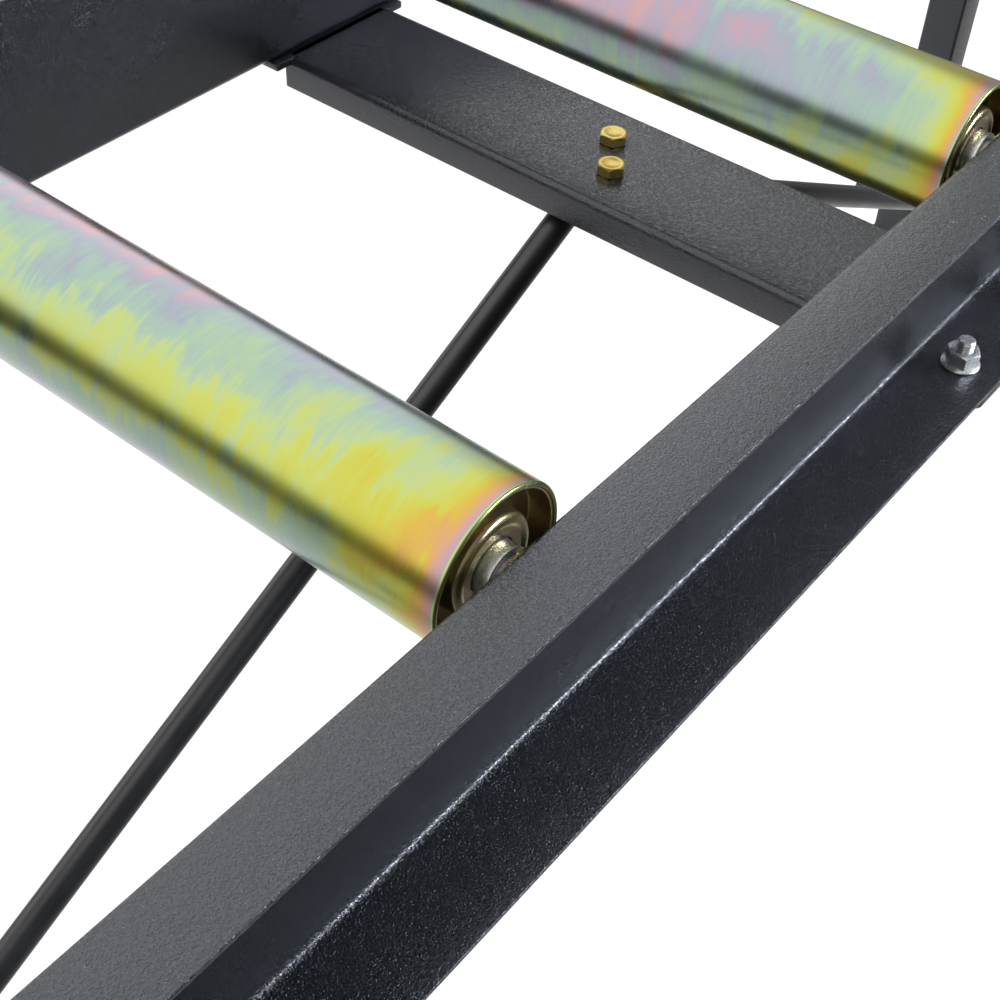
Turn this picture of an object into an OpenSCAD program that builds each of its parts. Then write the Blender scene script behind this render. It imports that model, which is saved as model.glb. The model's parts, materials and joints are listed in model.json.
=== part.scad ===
// Roller stand: two side rails on telescopic legs, with a row of free-running rollers between them.
// X runs across the stand, Y along it and Z up. The origin is on the floor, under the middle of the stand.

/* [Stand] */
// Length of the side rails
stand_length = 2000; // [1700:50:2400]
// Height of the roller tops above the floor, with the legs pushed in
roller_top = 800; // [750:10:900]
// Number of rollers, odd so that one lies over the middle crossmember
roller_count = 7; // [3:2:7]
// Distance from a rail's end to the first roller's axis
end_inset = 50; // [50:5:80]

/* [Roller tubes] */
// Outside diameter of a roller
roller_d = 60; // [55:1:70]
// Length of a roller tube
roller_length = 360; // [300:10:450]
// Wall of a roller tube
tube_wall = 1.5; // [1.2:0.1:2.5]
// Rounding of a tube's outer end edges
tube_round = 0.6; // [0.3:0.1:1]
// Gap between a tube's end and the rail beside it
roller_end_gap = 9; // [7:0.5:15]
// How far the roller tops stand above the rails
roller_proud = 13.5; // [8:0.5:16]

/* [Bearing housings] */
// Thickness of the pressed sheet
housing_sheet = 1; // [0.8:0.1:1.4]
// Inside radius of the housing's bends
housing_bend = 1; // [0.6:0.1:1.2]
// Depth of the ring-shaped recess in a roller's end
housing_depth = 10; // [8:0.5:14]
// How far the boss's rounded shoulder lies inside the tube's end
boss_recess = 1.4; // [1:0.1:2.2]
// Outside radius of the boss's shoulder
boss_shoulder = 2.8; // [2.6:0.1:3]
// Depth of the boss's face below its shoulder
boss_dish = 0.6; // [0.5:0.1:0.8]
// Width of the slope between the shoulder and the face
boss_slope = 0.7; // [0.5:0.1:0.8]
// Width of the gap between the boss's hole and the spacer in it
boss_hole_gap = 0.65; // [0.4:0.05:0.8]

/* [Ball bearings] */
// Bore of a bearing
bearing_bore = 15; // [15:0.5:16]
// Outside diameter of a bearing
bearing_d = 35; // [35:0.5:37]
// Width of a bearing
bearing_w = 11; // [10:0.5:13]
// Wall of a bearing's rings beside the groove
ring_wall = 2.6; // [2.3:0.1:2.7]
// Chamfer on a bearing's outer corners
bearing_chamfer = 0.8; // [0.7:0.1:1]
// Diameter of a ball
ball_d = 5.95; // [5.6:0.05:6.1]
// Number of balls in a bearing
ball_count = 8; // [7:1:9]
// Space between a ball and its grooves
race_gap = 0.22; // [0.2:0.01:0.3]
// Thickness of a ball cage
cage_wall = 1.4; // [1:0.1:1.8]
// Width of a ball cage
cage_w = 3; // [2:0.5:4]
// Thickness of a bearing's side shield
shield_sheet = 0.4; // [0.3:0.1:0.6]
// How far a shield lies inside the ring's face
shield_inset = 0.3; // [0.2:0.1:0.6]
// Gap between a shield and the inner ring
shield_gap = 0.5; // [0.4:0.1:0.7]

/* [Axles] */
// Diameter of an axle between its bearings
axle_core_d = 17; // [16.5:0.5:19]
// Diameter of the thread on an axle's ends
axle_thread_d = 12; // [10:1:13]
// Play of the axle's thread in the rail and the washers
axle_hole_gap = 0.25; // [0.2:0.05:0.5]
// Outside diameter of the spacer beside a bearing
spacer_d = 19.5; // [18.5:0.1:19.7]
// How far a spacer stands out of the tube's end
spacer_proud = 3.3; // [2:0.1:4]
// Outside diameter of an axle washer
washer_d = 24; // [22:1:28]
// Thickness of an axle washer
washer_t = 2.5; // [2:0.1:3]
// Width across the flats of an axle nut
axle_nut_flats = 18; // [17:1:20]
// Height of an axle nut
axle_nut_h = 10; // [8:0.5:12]
// How far the thread stands out of an axle nut
axle_tail = 3; // [1:0.5:5]
// Chamfer on the ends of axles, spacers and studs
end_chamfer = 0.8; // [0.5:0.1:1]

/* [Side rails] */
// Height of a rail
rail_height = 95; // [90:1:120]
// Width of a rail's top flange
rail_top_flange = 28; // [25:1:35]
// Width of a rail's bottom flange
rail_bottom_flange = 40; // [38:1:50]
// Thickness of a rail's sheet
rail_sheet = 2; // [1.5:0.1:3]
// Inside radius of a rail's bends
rail_bend = 2; // [1.5:0.5:3]

/* [Crossmembers] */
// Width of a crossmember, along the stand
cross_w = 80; // [60:2:84]
// Depth of a crossmember
cross_depth = 18; // [16:1:24]
// Thickness of a crossmember's sheet
cross_sheet = 2; // [1.5:0.1:3]
// Inside radius of a crossmember's bends
cross_bend = 2; // [1:0.5:3]
// Length of a crossmember's end plate, along the stand
plate_length = 100; // [92:2:100]
// Thickness of an end plate
plate_t = 4; // [3:0.5:6]
// How far an end plate reaches inward past the rail's inner face
plate_reach = 4; // [2:1:10]
// Rounding of an end plate's corners
plate_round = 4; // [2:1:6]
// Distance between the two bolts in an end plate
bolt_spacing = 66; // [64:2:74]
// Distance from the rail's inner face to the bolts
bolt_line = 21.5; // [18:0.5:26]

/* [Bolts and nuts] */
// Thread of the frame's and the stays' bolts
bolt_d = 8; // [6:1:8]
// Hole for such a bolt
bolt_hole_d = 9; // [8.5:0.1:10]
// Width across the flats of a bolt's head and its nut
bolt_flats = 13; // [12:0.5:14]
// Height of a bolt's head
bolt_head_h = 5.3; // [4:0.1:7]
// Diameter of the flange on frame bolts and nuts
bolt_flange_d = 17; // [15:0.5:18]
// Thickness of that flange
bolt_flange_t = 1.6; // [1:0.1:2]
// Height of a flange nut
flange_nut_h = 8; // [7:0.5:9]
// How far a frame bolt stands out of its nut
bolt_tail = 5; // [2:0.5:8]
// How far a stay bolt stands out of its nut
stay_bolt_tail = 3; // [1:0.5:5]

/* [Stays] */
// Diameter of a stay rod
stay_d = 15; // [10:1:16]
// Distance from the middle of the stand to a stay's axis
stay_offset = 8; // [8:0.5:12]
// Width of a stay's flattened ends
stay_tab_w = 15.5; // [13:0.5:15.5]
// Thickness of a stay's flattened ends
stay_tab_t = 4; // [3:0.5:6]
// Distance from the middle of the stand to a stay's upper bolt
stay_bolt_y = 12; // [10:0.5:16]
// Gap between an upper flattened end's nut and the bend beside it
stay_nut_gap = 0.4; // [0.3:0.1:1]
// Distance from the middle of the stand to the round rod's upper end
stay_top_y = 14; // [12:0.5:18]
// Depth of the rod's upper end below the crossmember's sheet
stay_top_drop = 17.8; // [16:0.1:20]
// Distance from a leg frame's middle to the bend at a stay's foot
stay_foot_reach = 25; // [22:1:40]
// Length over which a stay's foot is flattened
stay_foot_taper = 20; // [14:1:30]

/* [Leg frames] */
// Width of a leg's outer square tube
leg_w = 40; // [38:1:44]
// Wall of the outer square tube
leg_wall = 2; // [1.5:0.1:2.5]
// Outer corner radius of the outer square tube
leg_round = 3; // [2.5:0.5:5]
// Height of the top of the lower crossbar above the floor
crossbar_top = 199.6; // [180:1:260]
// Width of the square lower crossbar
crossbar_w = 30; // [25:1:36]
// Wall of the lower crossbar
crossbar_wall = 2; // [1.5:0.1:3]
// Outer corner radius of the lower crossbar
crossbar_round = 3; // [2.5:0.5:5]

/* [Telescopic legs] */
// How far a leg can be pulled out
leg_travel = 300; // [200:10:340]
// Length of inner leg that stays in the outer tube then
leg_grip = 160; // [120:5:200]
// Gap between the inner leg and the outer tube on each side
leg_gap = 0.5; // [0.4:0.1:1]
// Wall of the inner leg
leg_inner_wall = 2; // [1.5:0.1:3]
// Outer corner radius of the inner leg
leg_inner_round = 2.5; // [2:0.1:4]
// Thickness of the collar's lip under the outer tube
collar_lip = 4; // [3:0.5:6]
// Wall of the collar round the outer tube
collar_wall = 2.5; // [2:0.1:4]
// Height of the collar's skirt on the outer tube
collar_skirt = 14; // [10:1:20]
// Rounding of the collar's outer corners
collar_round = 4; // [3:0.5:6]
// Gap between the plug's flange and the collar above it
leg_stop_gap = 0.3; // [0.3:0.1:1]
// Thickness of the plug's flange under the inner leg
plug_flange_t = 4; // [3:0.5:6]
// How far the plug's flange stands out past the inner leg
plug_lip = 2; // [1:0.5:3]
// Length of the plug inside the inner leg
plug_reach = 30; // [20:1:40]

/* [Clamp knobs] */
// Height of a clamp knob above the lower end of its tube
clamp_rise = 45; // [30:1:80]
// Thread of a clamp knob's stud
clamp_d = 10; // [8:1:12]
// Width across the flats of the nut welded to the tube
clamp_nut_flats = 17; // [15:1:19]
// Height of the welded nut
clamp_nut_h = 8; // [6:0.5:10]
// Free stud between the welded nut and the knob
clamp_free = 4; // [2:0.5:8]
// Space between the stud's tip and the inner leg
clamp_tip_gap = 0.3; // [0.2:0.05:0.4]
// Diameter of the knob over its lobes
knob_d = 42; // [36:1:50]
// Thickness of the knob's grip
knob_h = 16; // [12:1:24]
// Number of lobes on the knob
knob_lobes = 6; // [5:1:8]
// Diameter of the knob's neck
knob_neck_d = 20; // [16:1:24]
// Length of the knob's neck
knob_neck_h = 8; // [5:1:12]
// Rounding of the knob's edges
knob_round = 3; // [1:0.5:4]

/* [Levelling feet] */
// Diameter of a foot's pad
pad_d = 50; // [40:1:60]
// Height of the pad's straight edge
pad_edge_h = 5; // [3:0.5:6]
// Height of the whole pad
pad_h = 12; // [9:0.5:16]
// Diameter of the pad's top
pad_top_d = 27; // [26:1:32]
// Thread of a foot's spindle
foot_d = 12; // [10:1:14]
// Width across the flats of the spindle's hexagon
foot_flats = 19; // [17:1:22]
// Height of the spindle's hexagon
foot_flats_h = 8; // [6:0.5:12]
// Free spindle between the hexagon and the plug
foot_free = 26; // [24:1:34]
// Length of spindle above the plug's flange
foot_grip = 55; // [40:1:70]

/* [Hidden] */
$fn = 64;
// Clearance round what sits in a seat, a bore or a thread
fit_gap = 0.05;
// Overrun of a cut past the face it opens
cut = 1;
// Thickness of the slices that a stay's flattened ends are blended between
blend_slice = 1;
// Sides of the round end of such a blend
blend_sides = 32;
// Height of the bevel on a nut's or a bolt's hexagon, as a share of its width across the flats
hex_bevel_share = 0.08;
// Roundness of a knob's grooves, as a share of the knob's diameter
knob_groove_share = 0.13;
// Distance of a knob's grooves from its axis, as a share of the knob's diameter
knob_groove_place_share = 0.56;

axis_z = roller_top - roller_d / 2;
rail_top = roller_top - roller_proud;
rail_under = rail_top - rail_height;
web_x = roller_length / 2 + roller_end_gap;
web_out = web_x + rail_sheet;
roller_pitch = (stand_length - 2 * end_inset) / (roller_count - 1);
roller_numbers = [for (i = [1 : roller_count]) i];
leg_y = stand_length / 2 - end_inset;
bolt_x = web_x + bolt_line;

housing_r = roller_d / 2 - tube_wall - fit_gap;
bearing_seat_r = bearing_d / 2 + fit_gap;
boss_r = bearing_seat_r + housing_sheet;
boss_hole_r = spacer_d / 2 + boss_hole_gap;
boss_crest_r = boss_r - boss_shoulder;
boss_face_r = boss_crest_r - boss_slope;
boss_face = boss_recess + boss_dish;
bearing_face = boss_face + housing_sheet;
pitch_r = (bearing_bore + bearing_d) / 4;
groove_r = ball_d / 2 + race_gap;
inner_shoulder_r = bearing_bore / 2 + ring_wall;
outer_shoulder_r = bearing_d / 2 - ring_wall;

axle_core_x = roller_length / 2 - bearing_face - bearing_w;
axle_seat_x = web_x - washer_t;
axle_nut_x = web_out + washer_t;
axle_end_x = axle_nut_x + axle_nut_h + axle_tail;
axle_hole_r = axle_thread_d / 2 + axle_hole_gap;

plate_under = rail_under - plate_t;
plate_x = web_x - plate_reach;
plate_w = rail_bottom_flange + plate_reach;
frame_bolt_length = plate_t + rail_sheet + flange_nut_h + bolt_tail;
tab_top = rail_under - cross_sheet;
stay_top_z = tab_top - stay_top_drop;
stay_foot_y = leg_y - stay_foot_reach;
stay_foot_z = crossbar_top + stay_tab_t / 2;
stay_slope = atan2(stay_top_z - stay_foot_z, stay_foot_y - stay_top_y);
stay_rod_y = stay_foot_y - stay_foot_taper * cos(stay_slope);
stay_rod_z = stay_foot_z + stay_foot_taper * sin(stay_slope);
stay_rod_length = (stay_rod_y - stay_top_y) / cos(stay_slope);
blend_d = stay_d / cos(180 / blend_sides) + fit_gap;
upper_bolt_length = cross_sheet + stay_tab_t + flange_nut_h + stay_bolt_tail;
lower_bolt_length = stay_tab_t + crossbar_w + flange_nut_h + stay_bolt_tail;

leg_x = web_x + leg_w / 2;
leg_bore = leg_w - 2 * leg_wall;
leg_inner_w = leg_bore - 2 * leg_gap;
plug_z = pad_h + foot_flats_h + foot_free;
leg_inner_z = plug_z + plug_flange_t;
collar_z = leg_inner_z + leg_stop_gap;
leg_mouth_z = collar_z + collar_lip;
clamp_z = leg_mouth_z + clamp_rise;
clamp_nut_x = leg_x + leg_w / 2;
knob_x = clamp_nut_x + clamp_nut_h + clamp_free;
clamp_tip_x = leg_x + leg_inner_w / 2 + clamp_tip_gap;

CORNERS = ["front_left", "front_right", "rear_left", "rear_right"];

function roller_y(i) = (i - (roller_count + 1) / 2) * roller_pitch;

// A copy on each side of the middle, across the stand.
module both_sides() {
    children();
    mirror([1, 0, 0]) children();
}

// A copy at each end of the stand, the second turned half round.
module both_ends() {
    children();
    rotate(180) children();
}

// Places a leg's piece, made at the front left corner, at corner number c.
module at_corner(c) {
    mirror([c % 2, 0, 0]) mirror([0, floor(c / 2), 0]) translate([-leg_x, -leg_y, 0]) children();
}

// A revolved piece whose profile's second axis runs inward from a roller's right end.
module from_roller_end() {
    translate([roller_length / 2, 0, 0]) rotate([0, -90, 0]) rotate_extrude() children();
}

// A quarter of a bent sheet, seen from its edge.
module bend_profile(inner_r, sheet, turn) {
    rotate(turn) intersection() {
        difference() {
            circle(inner_r + sheet);
            circle(inner_r);
        }
        square(inner_r + sheet);
    }
}

module rounded_square(size, r) {
    square([size - 2 * r, size], center = true);
    square([size, size - 2 * r], center = true);
    for (x = [-1, 1], y = [-1, 1]) translate([x, y] * (size / 2 - r)) circle(r);
}

module square_tube(size, wall, r, length) {
    linear_extrude(length) difference() {
        rounded_square(size, r);
        rounded_square(size - 2 * wall, max(r - wall, wall / 4));
    }
}

// A round bar along Z with both ends chamfered.
module bar(r, length, chamfer) {
    translate([0, 0, chamfer]) cylinder(r = r, h = length - 2 * chamfer);
    cylinder(r1 = r - chamfer, r2 = r, h = chamfer);
    translate([0, 0, length - chamfer]) cylinder(r1 = r, r2 = r - chamfer, h = chamfer);
}

// A hexagon along Z with its top corners bevelled, as on nuts and bolt heads.
module hexagon(flats, h) {
    corner_r = flats / 2 / cos(30);
    bevel = flats * hex_bevel_share;
    intersection() {
        cylinder(r = corner_r, h = h, $fn = 6);
        union() {
            cylinder(r = corner_r, h = h - bevel);
            translate([0, 0, h - bevel]) cylinder(r1 = corner_r, r2 = flats / 2 - bevel / 2, h = bevel);
        }
    }
}

module flange_nut() {
    difference() {
        union() {
            hexagon(bolt_flats, flange_nut_h);
            cylinder(d = bolt_flange_d, h = bolt_flange_t);
        }
        translate([0, 0, -cut]) cylinder(r = bolt_d / 2 + fit_gap, h = flange_nut_h + 2 * cut);
    }
}

// A bolt with its shank up from the origin and its head below.
module bolt(length, flange_d) {
    mirror([0, 0, 1]) hexagon(bolt_flats, bolt_head_h);
    mirror([0, 0, 1]) cylinder(d = flange_d, h = bolt_flange_t);
    cylinder(d = bolt_d, h = length - end_chamfer);
    translate([0, 0, length - end_chamfer])
        cylinder(r1 = bolt_d / 2, r2 = bolt_d / 2 - end_chamfer, h = end_chamfer);
}

// Side rail: a sheet channel with a narrow top flange and a wide bottom flange, open outward.
module rail_profile() {
    outer_r = rail_bend + rail_sheet;
    translate([0, outer_r]) square([rail_sheet, rail_height - 2 * outer_r]);
    translate([outer_r, 0]) square([rail_bottom_flange - outer_r, rail_sheet]);
    translate([outer_r, rail_height - rail_sheet]) square([rail_top_flange - outer_r, rail_sheet]);
    translate([outer_r, outer_r]) bend_profile(rail_bend, rail_sheet, 180);
    translate([outer_r, rail_height - outer_r]) bend_profile(rail_bend, rail_sheet, 90);
}

module rail() {
    color("dimgray") difference() {
        translate([web_x, stand_length / 2, rail_under]) rotate([90, 0, 0])
            linear_extrude(stand_length) rail_profile();
        for (i = roller_numbers) translate([web_x - cut, roller_y(i), axis_z]) rotate([0, 90, 0])
            cylinder(r = axle_hole_r, h = rail_sheet + 2 * cut);
        frame_bolt_places() translate([0, 0, rail_under - cut])
            cylinder(d = bolt_hole_d, h = rail_sheet + 2 * cut);
    }
}

// The frame bolts of the right side, on the floor plan.
module frame_bolt_places() {
    for (y = [-leg_y, 0, leg_y]) cross_bolt_places() translate([0, y, 0]) children();
}

module cross_bolt_places() {
    for (side = [-1, 1]) translate([bolt_x, side * bolt_spacing / 2, 0]) children();
}

// Crossmember: a shallow channel, open downward, with a plate welded to each end.
module cross_profile() {
    outer_r = cross_bend + cross_sheet;
    translate([outer_r - cross_w / 2, -cross_sheet]) square([cross_w - 2 * outer_r, cross_sheet]);
    for (side = [0, 1]) mirror([side, 0]) {
        translate([cross_w / 2 - cross_sheet, -cross_depth]) square([cross_sheet, cross_depth - outer_r]);
        translate([cross_w / 2 - outer_r, -outer_r]) bend_profile(cross_bend, cross_sheet, 0);
    }
}

module end_plate() {
    inner = plate_length / 2 - plate_round;
    translate([plate_x, 0, plate_under]) linear_extrude(plate_t) {
        translate([0, -inner]) square([plate_w, 2 * inner]);
        translate([0, -plate_length / 2]) square([plate_w - plate_round, plate_length]);
        for (side = [-1, 1]) translate([plate_w - plate_round, side * inner]) circle(plate_round);
    }
}

module crossmember() {
    difference() {
        union() {
            translate([-web_x, 0, rail_under]) rotate([90, 0, 90]) linear_extrude(2 * web_x) cross_profile();
            both_sides() end_plate();
        }
        both_sides() cross_bolt_places() translate([0, 0, plate_under - cut])
            cylinder(d = bolt_hole_d, h = plate_t + 2 * cut);
    }
}

module centre_crossmember() {
    color("dimgray") difference() {
        crossmember();
        both_ends() translate([-stay_offset, stay_bolt_y, tab_top - cut])
            cylinder(d = bolt_hole_d, h = cross_sheet + 2 * cut);
    }
}

// Leg frame: a crossmember, two square tubes, a lower crossbar and the clamps' nuts, welded together.
module leg_frame() {
    color("dimgray") difference() {
        union() {
            crossmember();
            both_sides() {
                translate([leg_x, 0, leg_mouth_z])
                    square_tube(leg_w, leg_wall, leg_round, plate_under - leg_mouth_z);
                clamp_nut();
            }
            translate([-web_x, 0, crossbar_top - crossbar_w / 2]) rotate([0, 90, 0])
                square_tube(crossbar_w, crossbar_wall, crossbar_round, 2 * web_x);
        }
        both_sides() translate([leg_x, 0, clamp_z]) rotate([0, 90, 0])
            cylinder(r = clamp_d / 2 + fit_gap, h = leg_w);
        translate([-stay_offset, 0, crossbar_top - crossbar_w - cut])
            cylinder(d = bolt_hole_d, h = crossbar_w + 2 * cut);
    }
}

module clamp_nut() {
    translate([clamp_nut_x, 0, clamp_z]) rotate([0, 90, 0]) hexagon(clamp_nut_flats, clamp_nut_h);
}

// Roller: a plain steel tube with its outer end edges rounded.
module roller_tube(i) {
    inner_r = roller_d / 2 - tube_wall;
    color("goldenrod") place_roller(i) from_roller_end() {
        translate([inner_r, 0]) square([tube_wall - tube_round, roller_length]);
        translate([inner_r, tube_round]) square([tube_wall, roller_length - 2 * tube_round]);
        for (z = [tube_round, roller_length - tube_round])
            translate([roller_d / 2 - tube_round, z]) circle(tube_round);
    }
}

module place_roller(i) {
    translate([0, roller_y(i), axis_z]) children();
}

// Bearing housing: one pressed sheet, down the tube's wall, across the floor of the recess and out again
// over the bearing, where it rounds a shoulder and dips to a flat face with a hole round the spacer.
module housing_profile() {
    outer_r = housing_bend + housing_sheet;
    floor_back = housing_depth + housing_sheet;
    translate([housing_r - housing_sheet, tube_round])
        square([housing_sheet, floor_back - outer_r - tube_round]);
    translate([housing_r - outer_r, floor_back - outer_r]) bend_profile(housing_bend, housing_sheet, 0);
    translate([boss_r + housing_bend, housing_depth])
        square([housing_r - outer_r - boss_r - housing_bend, housing_sheet]);
    translate([boss_r + housing_bend, housing_depth - housing_bend])
        bend_profile(housing_bend, housing_sheet, 90);
    shoulder_back = boss_recess + boss_shoulder;
    translate([bearing_seat_r, shoulder_back])
        square([housing_sheet, housing_depth - housing_bend - shoulder_back]);
    translate([boss_crest_r, shoulder_back]) bend_profile(boss_shoulder - housing_sheet, housing_sheet, 270);
    polygon([
        [boss_crest_r, boss_recess],
        [boss_crest_r, boss_recess + housing_sheet],
        [boss_face_r, boss_face + housing_sheet],
        [boss_face_r, boss_face]
    ]);
    translate([boss_hole_r, boss_face]) square([boss_face_r - boss_hole_r, housing_sheet]);
}

module roller_housings(i) {
    color("darkkhaki") place_roller(i) both_sides() from_roller_end() housing_profile();
}

// Ball bearing: the outer ring with its two shields turns with the roller.
module bearing_ring_profile() {
    outer_r = bearing_d / 2;
    difference() {
        polygon([
            [outer_shoulder_r, 0],
            [outer_r - bearing_chamfer, 0],
            [outer_r, bearing_chamfer],
            [outer_r, bearing_w - bearing_chamfer],
            [outer_r - bearing_chamfer, bearing_w],
            [outer_shoulder_r, bearing_w]
        ]);
        translate([pitch_r, bearing_w / 2]) circle(groove_r);
    }
    shield_r = inner_shoulder_r + shield_gap;
    for (y = [shield_inset, bearing_w - shield_inset - shield_sheet])
        translate([shield_r, y]) square([outer_shoulder_r - shield_r, shield_sheet]);
}

module bearing_rings(i) {
    color("silver") place_roller(i) both_sides() from_roller_end()
        translate([0, bearing_face]) bearing_ring_profile();
}

module bearing_inner_rings() {
    color("silver") for (i = roller_numbers) place_roller(i) both_sides() from_roller_end()
        translate([0, bearing_face]) difference() {
            translate([bearing_bore / 2, 0]) square([ring_wall, bearing_w]);
            translate([pitch_r, bearing_w / 2]) circle(groove_r);
        }
}

// The balls and the cage that spaces them, which roll round between the two rings.
module ball_cages(i) {
    color("lightgray") place_roller(i) both_sides() {
        from_roller_end() translate([pitch_r - cage_wall / 2, bearing_face + (bearing_w - cage_w) / 2])
            square([cage_wall, cage_w]);
        for (b = [0 : ball_count - 1])
            translate([roller_length / 2 - bearing_face - bearing_w / 2, 0, 0])
                rotate([b * 360 / ball_count, 0, 0]) translate([0, pitch_r, 0]) sphere(d = ball_d);
    }
}

module roller_axle() {
    seat_r = bearing_bore / 2 - fit_gap;
    rotate([0, 90, 0]) {
        translate([0, 0, -axle_core_x]) cylinder(d = axle_core_d, h = 2 * axle_core_x);
        translate([0, 0, -axle_seat_x]) cylinder(r = seat_r, h = 2 * axle_seat_x);
        translate([0, 0, -axle_end_x]) bar(axle_thread_d / 2, 2 * axle_end_x, end_chamfer);
    }
}

module roller_axles() {
    color("gray") for (i = roller_numbers) place_roller(i) roller_axle();
}

module axle_spacers() {
    spacer_x = roller_length / 2 - bearing_face;
    spacer_length = bearing_face + spacer_proud;
    color("silver") for (i = roller_numbers) place_roller(i) both_sides()
        translate([spacer_x, 0, 0]) rotate([0, 90, 0]) difference() {
            bar(spacer_d / 2, spacer_length, end_chamfer);
            translate([0, 0, -cut]) cylinder(d = bearing_bore, h = spacer_length + 2 * cut);
        }
}

module axle_washers() {
    color("darkkhaki") for (i = roller_numbers) place_roller(i) both_sides()
        for (x = [axle_seat_x, web_out]) translate([x, 0, 0]) rotate([0, 90, 0]) difference() {
            cylinder(d = washer_d, h = washer_t);
            translate([0, 0, -cut]) cylinder(r = axle_hole_r, h = washer_t + 2 * cut);
        }
}

module axle_nuts() {
    color("silver") for (i = roller_numbers) place_roller(i) both_sides()
        translate([axle_nut_x, 0, 0]) rotate([0, 90, 0]) difference() {
            hexagon(axle_nut_flats, axle_nut_h);
            translate([0, 0, -cut]) cylinder(r = axle_thread_d / 2 + fit_gap, h = axle_nut_h + 2 * cut);
        }
}

// Bolts come up through the end plates, and their nuts sit on the rails' bottom flanges.
module frame_bolts() {
    color("silver") both_sides() frame_bolt_places() translate([0, 0, plate_under])
        bolt(frame_bolt_length, bolt_flange_d);
}

module flange_nuts() {
    color("silver") {
        both_sides() frame_bolt_places() translate([0, 0, rail_under + rail_sheet]) flange_nut();
        both_ends() {
            translate([-stay_offset, stay_bolt_y, tab_top - stay_tab_t]) mirror([0, 0, 1]) flange_nut();
            translate([-stay_offset, -leg_y, crossbar_top - crossbar_w]) mirror([0, 0, 1]) flange_nut();
        }
    }
}

module stay_bolts() {
    color("goldenrod") both_ends() {
        translate([-stay_offset, stay_bolt_y, rail_under]) mirror([0, 0, 1])
            bolt(upper_bolt_length, bolt_flats);
        translate([-stay_offset, -leg_y, crossbar_top + stay_tab_t]) mirror([0, 0, 1])
            bolt(lower_bolt_length, bolt_flats);
    }
}

// Flat end of a stay, with a round nose and a bolt hole at the origin, running back along -Y for its reach.
module stay_tab(reach) {
    linear_extrude(stay_tab_t) difference() {
        union() {
            circle(d = stay_tab_w);
            translate([-stay_tab_w / 2, -reach]) square([stay_tab_w, reach]);
        }
        circle(d = bolt_hole_d);
    }
}

// Thin slice across a stay, where its flattened end begins.
module stay_tab_slice() {
    translate([-stay_tab_w / 2, 0, 0]) cube([stay_tab_w, blend_slice, stay_tab_t]);
}

// Stay: a round rod with flattened ends, from the middle crossmember down to the front leg frame's crossbar.
module stay() {
    tab_reach = bolt_flange_d / 2 + stay_nut_gap + blend_slice;
    bend_y = stay_bolt_y - tab_reach;
    foot_tab_reach = leg_y - stay_foot_y;
    color("dimgray") translate([-stay_offset, 0, 0]) {
        translate([0, stay_bolt_y, tab_top - stay_tab_t]) stay_tab(tab_reach);
        hull() {
            translate([0, bend_y, tab_top - stay_tab_t]) stay_tab_slice();
            translate([0, -stay_top_y, stay_top_z]) rotate([90 + stay_slope, 0, 0])
                translate([0, 0, -blend_slice]) cylinder(d = blend_d, h = blend_slice, $fn = blend_sides);
        }
        translate([0, -stay_top_y, stay_top_z]) rotate([90 + stay_slope, 0, 0])
            translate([0, 0, -blend_slice / 2]) cylinder(d = stay_d, h = stay_rod_length + blend_slice);
        hull() {
            translate([0, -stay_rod_y, stay_rod_z]) rotate([90 + stay_slope, 0, 0])
                cylinder(d = blend_d, h = blend_slice, $fn = blend_sides);
            translate([0, -stay_foot_y - blend_slice, crossbar_top]) stay_tab_slice();
        }
        translate([0, -leg_y, crossbar_top]) mirror([0, 1, 0]) stay_tab(foot_tab_reach);
    }
}

// Collar: a moulded cap on the outer tube's lower end, whose lip guides the inner leg.
module leg_collars() {
    outer_w = leg_w + 2 * collar_wall;
    opening = leg_inner_w + 2 * leg_stop_gap;
    color("black") for (c = [0 : 3]) at_corner(c) translate([0, 0, collar_z]) difference() {
        linear_extrude(collar_lip + collar_skirt) rounded_square(outer_w, collar_round);
        translate([0, 0, collar_lip]) linear_extrude(collar_skirt + cut)
            rounded_square(leg_w + 2 * fit_gap, leg_round);
        translate([0, 0, -cut]) linear_extrude(collar_lip + 2 * cut)
            rounded_square(opening, leg_inner_round);
    }
}

module leg_inner() {
    color("gray") translate([0, 0, leg_inner_z])
        square_tube(leg_inner_w, leg_inner_wall, leg_inner_round, leg_travel + leg_grip);
}

// Plug: closes the inner leg's lower end and holds the foot's thread.
module leg_plug() {
    plug_w = leg_inner_w - 2 * leg_inner_wall - 2 * fit_gap;
    color("black") difference() {
        union() {
            translate([0, 0, plug_z]) linear_extrude(plug_flange_t)
                rounded_square(leg_inner_w + 2 * plug_lip, leg_inner_round);
            translate([0, 0, leg_inner_z]) linear_extrude(plug_reach)
                rounded_square(plug_w, leg_inner_round - leg_inner_wall / 2);
        }
        translate([0, 0, plug_z - cut])
            cylinder(r = foot_d / 2 + fit_gap, h = plug_flange_t + plug_reach + 2 * cut);
    }
}

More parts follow.
